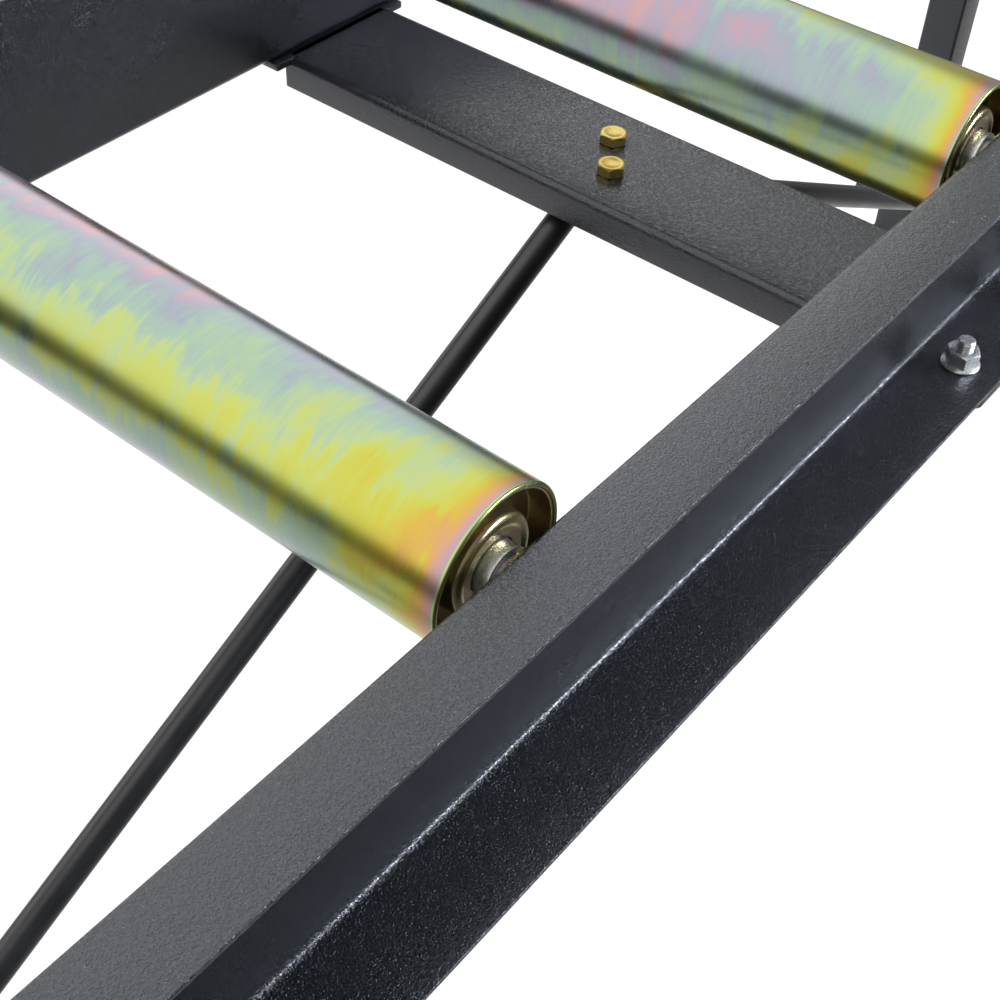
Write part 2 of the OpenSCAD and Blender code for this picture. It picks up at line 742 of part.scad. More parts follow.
// Clamp knob: a moulded star grip with a steel stud, whose tip presses on the inner leg.
module clamp_knob() {
    color("black") translate([-knob_x + leg_x, 0, clamp_z]) rotate([0, -90, 0]) {
        translate([0, 0, clamp_tip_x - knob_x])
            bar(clamp_d / 2, knob_x - clamp_tip_x + knob_neck_h, end_chamfer);
        cylinder(d1 = knob_neck_d, d2 = knob_neck_d + knob_round, h = knob_neck_h);
        translate([0, 0, knob_neck_h]) difference() {
            rotate_extrude() {
                square([knob_d / 2 - knob_round, knob_h]);
                translate([0, knob_round]) square([knob_d / 2, knob_h - 2 * knob_round]);
                for (z = [knob_round, knob_h - knob_round])
                    translate([knob_d / 2 - knob_round, z]) circle(knob_round);
            }
            for (k = [0 : knob_lobes - 1]) rotate(k * 360 / knob_lobes)
                translate([knob_d * knob_groove_place_share, 0, -cut])
                    cylinder(r = knob_d * knob_groove_share, h = knob_h + 2 * cut);
        }
    }
}

// Levelling foot: a threaded spindle with a hexagon, and a moulded pad on its lower end.
module levelling_foot() {
    color("black") {
        cylinder(d = pad_d, h = pad_edge_h);
        translate([0, 0, pad_edge_h]) cylinder(d1 = pad_d, d2 = pad_top_d, h = pad_h - pad_edge_h);
        translate([0, 0, pad_h]) hexagon(foot_flats, foot_flats_h);
        translate([0, 0, pad_edge_h])
            bar(foot_d / 2, plug_z + plug_flange_t + foot_grip - pad_edge_h, end_chamfer);
    }
}

mirror([1, 0, 0]) rail();  // rail_left
rail();  // rail_right
centre_crossmember();
translate([0, -leg_y, 0]) leg_frame();  // leg_frame_front
rotate(180) translate([0, -leg_y, 0]) leg_frame();  // leg_frame_rear
for (i = roller_numbers) {
    roller_tube(i);
    roller_housings(i);
    bearing_rings(i);
    ball_cages(i);
}
roller_axles();
bearing_inner_rings();
axle_spacers();
axle_washers();
axle_nuts();
frame_bolts();
flange_nuts();
stay();  // stay_front
rotate(180) stay();  // stay_rear
stay_bolts();
leg_collars();
for (c = [0 : 3]) {
    at_corner(c) leg_inner();
    at_corner(c) leg_plug();
    at_corner(c) clamp_knob();
    at_corner(c) levelling_foot();
}
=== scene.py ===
# Roller stand, dressed for its picture. The sheet metal, rollers, fasteners and mouldings are built anew in
# place of the CAD pieces, with rounded edges, threads and welds. The bearings keep their CAD shapes.
import json
import math
import random

import bmesh
import bpy
from mathutils import Matrix, Vector

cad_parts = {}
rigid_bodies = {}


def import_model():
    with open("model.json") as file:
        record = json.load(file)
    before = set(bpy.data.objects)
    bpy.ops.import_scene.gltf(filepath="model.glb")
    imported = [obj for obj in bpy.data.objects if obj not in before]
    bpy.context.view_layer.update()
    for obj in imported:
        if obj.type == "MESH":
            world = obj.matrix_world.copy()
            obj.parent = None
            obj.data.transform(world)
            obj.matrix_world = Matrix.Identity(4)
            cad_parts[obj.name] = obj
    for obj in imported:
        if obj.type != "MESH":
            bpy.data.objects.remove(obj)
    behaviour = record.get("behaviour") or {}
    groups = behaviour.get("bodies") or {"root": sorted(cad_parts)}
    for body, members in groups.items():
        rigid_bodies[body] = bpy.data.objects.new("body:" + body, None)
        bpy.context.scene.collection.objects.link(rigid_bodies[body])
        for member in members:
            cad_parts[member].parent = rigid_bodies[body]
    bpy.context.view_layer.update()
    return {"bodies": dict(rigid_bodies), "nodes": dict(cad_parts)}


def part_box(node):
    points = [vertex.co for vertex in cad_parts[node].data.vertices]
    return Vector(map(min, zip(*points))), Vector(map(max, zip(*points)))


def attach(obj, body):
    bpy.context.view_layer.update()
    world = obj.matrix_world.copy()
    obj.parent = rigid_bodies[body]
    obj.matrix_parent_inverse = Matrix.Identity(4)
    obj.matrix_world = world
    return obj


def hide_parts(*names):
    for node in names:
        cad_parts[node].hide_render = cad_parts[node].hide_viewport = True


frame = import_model()

MM = 0.001
random.seed(7)

# Places read from the frame
RAIL_LOW, RAIL_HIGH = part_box("rail_right")
WEB_X = RAIL_LOW.x
RAIL_END = RAIL_HIGH.y
RAIL_UNDER = RAIL_LOW.z
RAIL_TOP = RAIL_HIGH.z
BOTTOM_FLANGE = RAIL_HIGH.x - RAIL_LOW.x
ROLLERS = sorted(int(name.split("_")[1]) for name in frame["bodies"] if name.startswith("roller_"))
ROLLER_BOXES = {i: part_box(f"roller_{i}_tube") for i in ROLLERS}
ROLLER_PLACES = {i: (low + high) / 2 for i, (low, high) in ROLLER_BOXES.items()}
ROLLER_SIZE = ROLLER_BOXES[1][1] - ROLLER_BOXES[1][0]
ROLLER_R = ROLLER_SIZE.z / 2
ROLLER_END = ROLLER_SIZE.x / 2
CORNERS = ("front_left", "front_right", "rear_left", "rear_right")
LEG_PLACES = {c: sum(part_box(f"leg_inner_{c}"), Vector()) / 2 for c in CORNERS}
LEG_X = LEG_PLACES["front_right"].x
LEG_Y = LEG_PLACES["rear_right"].y
INNER_LOW, INNER_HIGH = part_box("leg_inner_front_right")
INNER_HALF = (INNER_HIGH.x - INNER_LOW.x) / 2
COLLAR_LOW, COLLAR_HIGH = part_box("leg_collars")
FOOT_LOW, FOOT_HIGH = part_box("levelling_foot_front_right")

# Smallest corner radius, the eased edges of turned and moulded parts, and the steps of a sheet's bend
LEAST_ROUND = 0.05 * MM
FINE_EASE = 0.2 * MM
EASE = 0.3 * MM
FOLD_STEPS = 6

# Side rails
RAIL_SHEET = 2 * MM
RAIL_BEND = 2 * MM
RAIL_TOP_BEND = 2.6 * MM
RAIL_FOLD = 3.2 * MM
TOP_FLANGE = 28 * MM
SHEET_EDGE = 0.5 * MM

# Crossmembers
CROSS_W = 80 * MM
CROSS_DEPTH = 18 * MM
CROSS_SHEET = 2 * MM
CROSS_BEND = 2 * MM
PLATE_LENGTH = 100 * MM
PLATE_T = 4 * MM
PLATE_REACH = 4 * MM
PLATE_ROUND = 4 * MM
PLATE_INNER_ROUND = 0.8 * MM
PLATE_EDGE = 0.6 * MM
BOLT_SPACING = 66 * MM
BOLT_LINE = 21.5 * MM

# Welds: the bead's radius, and how far its middle stands off the parts that it joins
PLATE_WELD_R = 1.9 * MM
LEG_WELD_R = 1.8 * MM
LEG_WELD_DROP = 0.6 * MM
BAR_WELD_R = 1.9 * MM
BAR_WELD_GAP = 0.4 * MM
NUT_WELD_R = 1.3 * MM
NUT_WELD_GAP = 0.2 * MM
NUT_WELD_SHARE = 0.53

# Bolts and nuts
BOLT_D = 8 * MM
BOLT_PITCH = 1.25 * MM
BOLT_HOLE_D = 9 * MM
BOLT_FLATS = 13 * MM
BOLT_HEAD_H = 5.3 * MM
BOLT_FLANGE_D = 17 * MM
BOLT_FLANGE_T = 1.6 * MM
BOLT_FLANGE_SLOPE = math.radians(16)
BOLT_DISH_SHARE = 0.36
BOLT_DISH_DEPTH = 0.25 * MM
BOLT_DISH_EDGE = 0.5 * MM
FLANGE_NUT_H = 8 * MM
BOLT_TAIL = 5 * MM
STAY_BOLT_TAIL = 3 * MM
NUT_TURN = 7
NUT_TURN_REACH = 5

# Rollers
TUBE_WALL = 1.5 * MM
TUBE_ROUND = 0.9 * MM
TUBE_INNER_ROUND = 0.4 * MM
HOUSING_LIP = 0.6 * MM
HOUSING_SHEET = 1 * MM
HOUSING_BEND = 1 * MM
HOUSING_DEPTH = 10 * MM
HOUSING_FIT = 0.05 * MM
HOUSING_EDGE = 0.45 * MM
BOSS_RECESS = 1.4 * MM
BOSS_DISH = 0.6 * MM
BOSS_CREASE_R = 13.9 * MM
BOSS_CREST_R = 15.4 * MM
BOSS_HOLE_GAP = 0.65 * MM
BOSS_FACE_SINK = 0.08 * MM
BOSS_CREST_RISE = 0.12 * MM
BOSS_SHOULDER_DROP = 0.35 * MM
BOSS_BACK_DROP = 0.6 * MM
BOSS_BACK_ROUND = 0.5 * MM
BOSS_SEAT_ROUND = 1.3 * MM
BOSS_CREASE_ROUND = 1 * MM
BOSS_CREST_ROUND = 1.2 * MM
BOSS_SHOULDER_ROUND = 2.4 * MM
BEARING_SEAT_W = 2.6 * MM
BEARING_BORE = 15 * MM
BEARING_D = 35 * MM
BEARING_W = 11 * MM

# Turn of each roller against the one before it, so that their films differ, and the one that stays as it is
ROLLER_TURN = math.radians(90)
UNTURNED_ROLLER = 3

# Axles
AXLE_CORE_D = 17 * MM
AXLE_THREAD_D = 12 * MM
AXLE_PITCH = 1.75 * MM
AXLE_HOLE_GAP = 0.25 * MM
AXLE_EASE = 0.4 * MM
AXLE_SEAT_STEP = 0.5 * MM
SPACER_D = 19.5 * MM
SPACER_PROUD = 3.3 * MM
WASHER_D = 24 * MM
WASHER_T = 2.5 * MM
WASHER_ROUND = 0.6 * MM
AXLE_NUT_FLATS = 18 * MM
AXLE_NUT_H = 10 * MM
AXLE_TAIL = 3 * MM

# Stays
STAY_D = 15 * MM
STAY_OFFSET = 8 * MM
STAY_TAB_W = 15.5 * MM
STAY_TAB_T = 4 * MM
STAY_TAB_POWER = 8
STAY_TIP = 0.3 * MM
STAY_BOLT_Y = 12 * MM
STAY_NUT_GAP = 0.4 * MM
STAY_TOP_Y = 14 * MM
STAY_TOP_DROP = 17.8 * MM
STAY_FOOT_REACH = 25 * MM
STAY_FOOT_TAPER = 20 * MM

# Leg frames and legs
LEG_W = 40 * MM
LEG_WALL = 2 * MM
LEG_ROUND = 3 * MM
CROSSBAR_W = 30 * MM
CROSSBAR_WALL = 2 * MM
CROSSBAR_ROUND = 3 * MM
CROSSBAR_EDGE = 0.1 * MM
LEG_INNER_WALL = 2 * MM
LEG_INNER_ROUND = 2.5 * MM
COLLAR_LIP = 4 * MM
COLLAR_ROUND = 4 * MM
LEG_STOP_GAP = 0.3 * MM
PLUG_GAP = 0.05 * MM
TUBE_EDGE = 0.4 * MM
MOULD_EDGE = 0.8 * MM

# Clamp knobs
CLAMP_D = 10 * MM
CLAMP_PITCH = 1.5 * MM
CLAMP_NUT_FLATS = 17 * MM
CLAMP_NUT_H = 8 * MM
CLAMP_FREE = 4 * MM
CLAMP_TIP_GAP = 0.3 * MM
KNOB_NECK_D = 20 * MM
KNOB_NECK_H = 8 * MM
KNOB_H = 16 * MM
KNOB_ROUND = 3 * MM
KNOB_NECK_EASE = 0.6 * MM
KNOB_DISH_EDGE = 0.8 * MM
KNOB_DISH_DROP = 0.9 * MM
KNOB_DISH_DEPTH = 1.2 * MM
KNOB_LOBES = 6
KNOB_GROOVE_SHARE = 0.13
KNOB_GROOVE_PLACE_SHARE = 0.56
KNOB_GROOVE_BLEND = 1.6 * MM

# Levelling feet
PAD_EDGE_H = 5 * MM
PAD_H = 12 * MM
PAD_TOP_D = 27 * MM
PAD_UNDER_ROUND = 1.2 * MM
PAD_SHOULDER_DROP = 0.15 * MM
PAD_RIBS = 12
PAD_RIB_W = 1.6 * MM
PAD_RIB_RISE = 3.6 * MM
PAD_RIB_INSET = 2.6 * MM
PAD_RIB_REACH = 1 * MM
FOOT_D = 12 * MM
FOOT_PITCH = 1.75 * MM
FOOT_FLATS = 19 * MM
FOOT_FLATS_H = 8 * MM
FOOT_THREAD_SINK = 1 * MM

# Places worked out from the sizes above
WEB_OUT = WEB_X + RAIL_SHEET
PLATE_UNDER = RAIL_UNDER - PLATE_T
BOLT_X = WEB_X + BOLT_LINE
TAB_TOP = RAIL_UNDER - CROSS_SHEET
LEG_MOUTH = COLLAR_LOW.z + COLLAR_LIP
CLAMP_Z = sum(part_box("clamp_knob_front_right"), Vector()).z / 2
CROSSBAR_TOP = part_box("stay_front")[0].z
BEARING_FACE = BOSS_RECESS + BOSS_DISH + HOUSING_SHEET
AXLE_NUT_X = WEB_OUT + WASHER_T
AXLE_END = AXLE_NUT_X + AXLE_NUT_H + AXLE_TAIL
KNOB_X = LEG_X + LEG_W / 2 + CLAMP_NUT_H + CLAMP_FREE

# Turns and mirrors for a piece made along Z or for the right side
ALONG_X = Matrix.Rotation(math.radians(90), 4, "Y")
FLIP_X = Matrix.Scale(-1, 4, (1, 0, 0))
FLIP_Z = Matrix.Scale(-1, 4, (0, 0, 1))
HALF_TURN = Matrix.Rotation(math.pi, 4, "Z")


class Shell:
    """Points and faces of one or more closed skins."""

    def __init__(self, points=(), faces=()):
        self.points = list(points)
        self.faces = list(faces)

    def add(self, other):
        first = len(self.points)
        self.points += other.points
        self.faces += [tuple(first + i for i in face) for face in other.faces]
        return self

    def moved(self, matrix):
        return Shell([matrix @ point for point in self.points], self.faces)

    def at(self, x, y, z):
        return self.moved(Matrix.Translation((x, y, z)))


def joined(shells):
    whole = Shell()
    for shell in shells:
        whole.add(shell)
    return whole


def shares(steps):
    """Even steps from 0 to 1."""
    return [k / steps for k in range(steps + 1)]


def eased(t):
    """A share from 0 to 1 that starts and ends gently."""
    return t * t * (3 - 2 * t)


def rounded(corners, steps=5):
    """An outline through corners (x, y, radius), each turned on an arc of its radius."""
    outline = []
    for k, (x, y, radius) in enumerate(corners):
        corner = Vector((x, y))
        if radius == 0:
            outline.append(corner)
            continue
        back = (Vector(corners[k - 1][:2]) - corner).normalized()
        ahead = (Vector(corners[(k + 1) % len(corners)][:2]) - corner).normalized()
        half = back.angle(ahead) / 2
        centre = corner + (back + ahead).normalized() * radius / math.sin(half)
        start = corner + back * radius / math.tan(half) - centre
        end = corner + ahead * radius / math.tan(half) - centre
        turn = math.atan2(start.x * end.y - start.y * end.x, start.dot(end))
        outline += [centre + Matrix.Rotation(turn * share, 2) @ start for share in shares(steps)]
    return outline


def rectangle(x0, x1, y0, y1, radius, grow=0, steps=5):
    """A rectangle with round corners, drawn in or let out by grow."""
    r = max(radius + grow, LEAST_ROUND)
    sides = ((x0 - grow, y0 - grow), (x1 + grow, y0 - grow), (x1 + grow, y1 + grow), (x0 - grow, y1 + grow))
    return rounded([(x, y, r) for x, y in sides], steps)


def loft(rings, hollow=False):
    """A skin over rings of points. A hollow one closes on itself, and any other is capped at both ends."""
    count = len(rings[0])
    faces = []
    for k in range(len(rings) if hollow else len(rings) - 1):
        a = k * count
        b = (k + 1) % len(rings) * count
        for i in range(count):
            j = (i + 1) % count
            faces.append((a + i, a + j, b + j, b + i))
    if not hollow:
        faces.append(tuple(range(count)))
        faces.append(tuple(range((len(rings) - 1) * count, len(rings) * count)))
    return Shell([point for ring in rings for point in ring], faces)


def flat_ring(outline, z):
    return [Vector((p.x, p.y, z)) for p in outline]


def round_ring(radius, z, sides):
    """A ring round the Z axis; radius may be a function of the turn, from 0 to 1."""
    ring = []
    for k in range(sides):
        r = radius(k / sides) if callable(radius) else radius
        turn = 2 * math.pi * k / sides
        height = z(k / sides) if callable(z) else z
        ring.append(Vector((r * math.cos(turn), r * math.sin(turn), height)))
    return ring


def turned(outline, sides=96, hollow=True):
    """An outline of (radius, height) turned about the Z axis."""
    return loft([round_ring(r, z, sides) for r, z in outline], hollow)


def lathed(corners, steps, sides):
    """An outline through corners (radius, height, round), turned about the Z axis."""
    return turned([(p.x, p.y) for p in rounded(corners, steps)], sides)


def slab(outline_at, z0, z1, edge):
    """A plate between two heights with rounded edges; outline_at gives its outline for a growth."""
    inset = edge * (1 - math.sqrt(0.5))
    levels = ((-edge, z0), (-inset, z0 + inset), (0, z0 + edge),
              (0, z1 - edge), (-inset, z1 - inset), (-edge, z1))
    return loft([flat_ring(outline_at(grow), z) for grow, z in levels])


def square_rings(levels):
    """Rings of squares with round corners, each from its half width, radius, growth and height."""
    return [flat_ring(rectangle(-w, w, -w, w, radius, grow), z) for w, radius, grow, z in levels]


def box_tube(width, wall, radius, length, edge):
    """A square tube along Z, from 0 to its length, with its cut ends eased."""
    out = (width / 2, radius)
    bore = (width / 2 - wall, max(radius - wall, wall / 4))
    n = edge / 2
    levels = ((*out, -edge, 0), (*out, 0, edge), (*out, 0, length - edge), (*out, -edge, length),
              (*bore, n, length), (*bore, 0, length - n), (*bore, 0, n), (*bore, n, 0))
    return loft(square_rings(levels), True)


def mesh_object(name, shell):
    mesh = bpy.data.meshes.new(name)
    mesh.from_pydata([tuple(point) for point in shell.points], [], shell.faces)
    work = bmesh.new()
    work.from_mesh(mesh)
    bmesh.ops.recalc_face_normals(work, faces=work.faces)
    work.to_mesh(mesh)
    work.free()
    obj = bpy.data.objects.new(name, mesh)
    bpy.context.scene.collection.objects.link(obj)
    return obj


def drilled(shell, drills):
    """The shell less the drills, which are closed shells too."""
    solid = mesh_object("solid", shell)
    drill = mesh_object("drill", joined(drills))
    step = solid.modifiers.new("holes", "BOOLEAN")
    step.operation = "DIFFERENCE"
    step.solver = "EXACT"
    step.object = drill
    result = solid.evaluated_get(bpy.context.evaluated_depsgraph_get()).to_mesh()
    left = Shell([v.co.copy() for v in result.vertices], [tuple(p.vertices) for p in result.polygons])
    bpy.data.objects.remove(solid)
    bpy.data.objects.remove(drill)
    return left


def drill(radius, length, sides=48):
    """A drill along Z, centred on the origin."""
    return turned([(radius, -length / 2), (radius, length / 2)], sides, False)


def bolt_drills(depth, *places):
    return [drill(BOLT_HOLE_D / 2, depth).at(*place) for place in places]


# Threads and fasteners


def thread_rings(radius, pitch, start, end, sides=32, steps=8):
    """Rings of a thread along Z, its crests on a helix, ending in a chamfer."""
    depth = 0.6 * pitch
    crest = 0.15
    tip_r = radius - 1.5 * depth
    count = math.ceil((end - start) / pitch * steps)
    rings = []
    for share in shares(count):
        z = start + (end - start) * share
        limit = max(radius - depth + (end - z), tip_r)

        def reach(turn):
            slope = abs(2 * ((z / pitch - turn) % 1) - 1)
            groove = min(max((slope - crest) / (1 - 2 * crest), 0), 1)
            return min(radius - depth * groove, limit)

        rings.append(round_ring(reach, z, sides))
    return rings


def threaded_bar(radius, pitch, length, plain, sides=32):
    """A bar up from the origin, plain at first and then threaded."""
    return loft([round_ring(radius, 0, sides)] + thread_rings(radius, pitch, plain, length, sides))


def hexagon_radius(flats):
    """Distance from the axis to a hexagon's side for a turn, with a corner at no turn."""
    return lambda turn: flats / 2 / math.cos(math.radians(60 * ((6 * turn) % 1) - 30))


HEX_SIDES = 72
HEX_SEAT_SHARE = 0.475
HEX_BEVEL_SLOPE = math.tan(math.radians(30))


def hexagon_rings(flats, low, high):
    """Rings of a hexagon along Z from low to high, its corners bevelled by a cone at each end."""
    side = hexagon_radius(flats)
    seat = flats * HEX_SEAT_SHARE

    def bevel(turn):
        return (side(turn) - seat) * HEX_BEVEL_SLOPE

    levels = ((seat, low), (side, lambda turn: low + bevel(turn)), (side, lambda turn: high - bevel(turn)),
              (seat, high))
    return [round_ring(r, z, HEX_SIDES) for r, z in levels]


def bored(rings, radius, height):
    """A skin over rings and a threaded bore's chamfered wall."""
    mouth = radius * 1.08
    ease = radius * 0.1
    bore = [(mouth, height), (radius, height - ease), (radius, ease), (mouth, 0)]
    return loft(rings + [round_ring(r, z, HEX_SIDES) for r, z in bore], True)


def flange_rings(height):
    """Rings of a bolt's or nut's hexagon on its cone-shaped flange, with the flange at the bottom."""
    side = hexagon_radius(BOLT_FLATS)
    flange_r = BOLT_FLANGE_D / 2
    lift = math.tan(BOLT_FLANGE_SLOPE)
    rim = BOLT_FLANGE_T * 0.5
    outer = [(flange_r - EASE, 0), (flange_r, EASE), (flange_r, rim), (flange_r - EASE, rim + EASE),
             (side, lambda turn: rim + EASE + (flange_r - side(turn)) * lift)]
    return [round_ring(r, z, HEX_SIDES) for r, z in outer] + hexagon_rings(BOLT_FLATS, 0, height)[2:]


def plain_nut(flats, height, radius):
    return bored(hexagon_rings(flats, 0, height), radius, height)


def headed(head, length, plain):
    """A bolt with its shank up from the origin and its head below."""
    return loft(head).moved(FLIP_Z).add(threaded_bar(BOLT_D / 2, BOLT_PITCH, length, plain))


def hexagon_bolt(length, plain):
    """A bolt with a plain head, dished on top."""
    dish = BOLT_FLATS * BOLT_DISH_SHARE
    floor_z = BOLT_HEAD_H - BOLT_DISH_DEPTH
    head = hexagon_rings(BOLT_FLATS, 0, BOLT_HEAD_H)
    head += [round_ring(dish, BOLT_HEAD_H, HEX_SIDES), round_ring(dish - BOLT_DISH_EDGE, floor_z, HEX_SIDES)]
    return headed(head, length, plain)


# Welds


def bead(path, radius, closed):
    """A weld's rippled bead along a path of points."""
    spacing = 0.8 * MM
    ripple = 3.2 * MM
    swell = 0.14
    jitter = 0.03
    taper = 2.5
    turns = [2 * math.pi * share for share in shares(8)[:-1]]
    corners = [Vector(p) for p in path] + ([Vector(path[0])] if closed else [])
    places = []
    for a, b in zip(corners, corners[1:]):
        count = max(1, round((b - a).length / spacing))
        places += [(a.lerp(b, k / count), (b - a).normalized()) for k in range(count)]
    if not closed:
        places.append((corners[-1], (corners[-1] - corners[-2]).normalized()))
    rings = []
    run = 0
    for k, (place, ahead) in enumerate(places):
        if k:
            run += (place - places[k - 1][0]).length
        wave = math.sqrt((run / ripple) % 1)
        r = radius * (1 - swell + swell * wave) * random.uniform(1 - jitter, 1 + jitter)
        if not closed:
            r *= min(1, (k + 0.6) / taper, (len(places) - k - 0.4) / taper)
        u = ahead.orthogonal().normalized()
        v = ahead.cross(u)
        rings.append([place + (u * math.cos(t) + v * math.sin(t)) * r for t in turns])
    return steady(rings, closed)


def lined_up(ring, before):
    """The ring, started nearest another ring's start and running the same way round."""
    shift = min(range(len(ring)), key=lambda s: (ring[s] - before[0]).length)
    ring = ring[shift:] + ring[:shift]
    if (ring[1] - before[1]).length > (ring[-1] - before[1]).length:
        ring = [ring[0]] + ring[:0:-1]
    return ring


def steady(rings, closed):
    """A skin over rings that are lined up first. A closed one ends on a copy of its first ring."""
    for k in range(1, len(rings)):
        rings[k] = lined_up(rings[k], rings[k - 1])
    if closed:
        rings.append([p.copy() for p in lined_up(rings[0], rings[-1])])
    return loft(rings)


# Finishes


class Nodes:
    """A node tree under construction, whose nodes are added one call at a time."""

    def __init__(self, owner):
        owner.use_nodes = True
        self.tree = owner.node_tree

    def give(self, socket, value):
        """Sets a socket, or links one to it."""
        if isinstance(value, bpy.types.NodeSocket):
            self.tree.links.new(value, socket)
        elif isinstance(value, tuple) and len(value) == 3 and socket.type == "RGBA":
            socket.default_value = (*value, 1)
        else:
            socket.default_value = value

    def node(self, kind, inputs, **settings):
        node = self.tree.nodes.new(kind)
        for name, value in settings.items():
            setattr(node, name, value)
        for name, value in inputs.items():
            self.give(node.inputs[name], value)
        return node

    def math(self, operation, *values):
        node = self.tree.nodes.new("ShaderNodeMath")
        node.operation = operation
        for socket, value in zip(node.inputs, values):
            self.give(socket, value)
        return node.outputs[0]

    def plus(self, *values):
        total = values[0]
        for value in values[1:]:
            total = self.math("ADD", total, value)
        return total

    def times(self, a, b):
        return self.math("MULTIPLY", a, b)

    def spread(self, value, low, high, to_low, to_high, smooth=True):
        """Maps a range of a value to another one, held at its ends."""
        inputs = {"Value": value, "From Min": low, "From Max": high, "To Min": to_low, "To Max": to_high}
        kind = "SMOOTHSTEP" if smooth else "LINEAR"
        return self.node("ShaderNodeMapRange", inputs, interpolation_type=kind).outputs[0]

    def blend(self, factor, a, b, colour=False):
        node = self.tree.nodes.new("ShaderNodeMix")
        node.data_type = "RGBA" if colour else "FLOAT"
        first = 6 if colour else 2
        for k, value in ((0, factor), (first, a), (first + 1, b)):
            self.give(node.inputs[k], value)
        return node.outputs[2 if colour else 0]


FINISHES = {}


class Finish(Nodes):
    """A slot's material and its nodes round one shader."""

    def __init__(self, name, metallic=0.0, ior=1.5):
        FINISHES[name] = bpy.data.materials.new(name)
        super().__init__(FINISHES[name])
        self.shader = self.tree.nodes["Principled BSDF"]
        self.shader.inputs["Metallic"].default_value = metallic
        self.shader.inputs["IOR"].default_value = ior
        self.place = self.tree.nodes.new("ShaderNodeTexCoord").outputs["Object"]

    def noise(self, size, detail=3, rough=0.55, stretch=(1, 1, 1), warp=0.0):
        """Noise with patches about size across, stretched along the axes given."""
        scale = tuple(1 / (size * s) for s in stretch)
        place = self.node("ShaderNodeMapping", {"Vector": self.place, "Scale": scale}).outputs[0]
        inputs = {"Vector": place, "Scale": 1.0, "Detail": detail, "Roughness": rough, "Distortion": warp}
        return self.node("ShaderNodeTexNoise", inputs).outputs[0]

    def follow(self, noise, low, high, smooth=True):
        """Maps the usual range of a noise to the values from low to high."""
        return self.spread(noise, 0.3, 0.7, low, high, smooth)

    def ramp(self, value, stops):
        node = self.node("ShaderNodeValToRGB", {"Fac": value})
        while len(node.color_ramp.elements) < len(stops):
            node.color_ramp.elements.new(0.5)
        for element, (position, colour) in zip(node.color_ramp.elements, stops):
            element.position = position
            element.color = (*colour, 1)
        return node.outputs["Color"]

    def bump(self, height, distance):
        """Adds a height, whose full swing is distance, to the surface."""
        inputs = {"Height": height, "Distance": distance, "Strength": 1.0}
        if self.shader.inputs["Normal"].links:
            inputs["Normal"] = self.shader.inputs["Normal"].links[0].from_socket
        self.set("Normal", self.node("ShaderNodeBump", inputs).outputs[0])

    def set(self, name, value):
        self.give(self.shader.inputs[name], value)


COAT_TINT = (0.90, 0.925, 1, 1)
COAT_SPECK = (0.030, 0.032, 0.038)
BAR_LINES = (0.6 * MM, 3, 0.6, (40, 1, 1))
RING_LINES = (0.4 * MM, 3, 0.6, (1, 12, 12))


def powder_coat():
    """Black powder coat with a leathery grain over sheet steel."""
    finish = Finish("powder_coat", ior=1.6)
    finish.shader.inputs["Specular Tint"].default_value = COAT_TINT
    pits = finish.spread(finish.noise(0.85 * MM, 2), 0.38, 0.58, 0, 1)
    drift = finish.noise(60 * MM)
    specks = finish.spread(finish.noise(0.45 * MM, 1, 0.5), 0.62, 0.72, 0, 1)
    finish.bump(finish.noise(2.2 * MM, 2, 0.5), 0.24 * MM)
    finish.bump(pits, 0.11 * MM)
    tone = finish.ramp(pits, [(0.0, (0.0010, 0.0010, 0.0012)), (0.6, (0.0045, 0.0052, 0.0070))])
    finish.set("Base Color", finish.blend(specks, tone, COAT_SPECK, True))
    rough = finish.spread(pits, 0, 1, 0.26, 0.19)
    finish.set("Roughness", finish.plus(rough, finish.follow(drift, -0.02, 0.02, False)))


def plain_finish(name, metallic, patches, tones, marks, rough, relief=None, depth=0):
    """A finish whose tones, roughness and relief follow a noise each, given as noise() takes it."""
    finish = Finish(name, metallic)
    finish.set("Base Color", finish.ramp(finish.noise(*patches), tones))
    finish.set("Roughness", finish.follow(finish.noise(*marks), *rough))
    if relief:
        finish.bump(finish.noise(*relief), depth)


# Colours of the passivated film as it thickens, from yellow round to yellow again
FILM = (
    (0.00, (0.300, 0.290, 0.045)),
    (0.10, (0.345, 0.235, 0.040)),
    (0.20, (0.350, 0.200, 0.075)),
    (0.30, (0.315, 0.180, 0.165)),
    (0.40, (0.245, 0.185, 0.225)),
    (0.50, (0.185, 0.205, 0.235)),
    (0.62, (0.190, 0.260, 0.210)),
    (0.76, (0.240, 0.300, 0.150)),
    (0.88, (0.285, 0.310, 0.075)),
    (1.00, (0.300, 0.290, 0.045)),
)

# Thickness of the film, counted in rounds of those colours: over most of the tube, and what is added towards
# its ends, on the side away from the band, in the band along it and on the rim
FILM_BASE = 0.57
FILM_WIDE_END = 0.31
FILM_WIDE_LENGTH = 80 * MM
FILM_BAND = 0.18
FILM_BAND_EDGE = -0.20
FILM_BAND_TURN = math.radians(142)
FILM_NEAR_END = 1.44
FILM_NEAR_LENGTH = 8 * MM
FILM_RIM = 0.40
FILM_RIM_FADE = (1.2 * MM, 1.6 * MM)


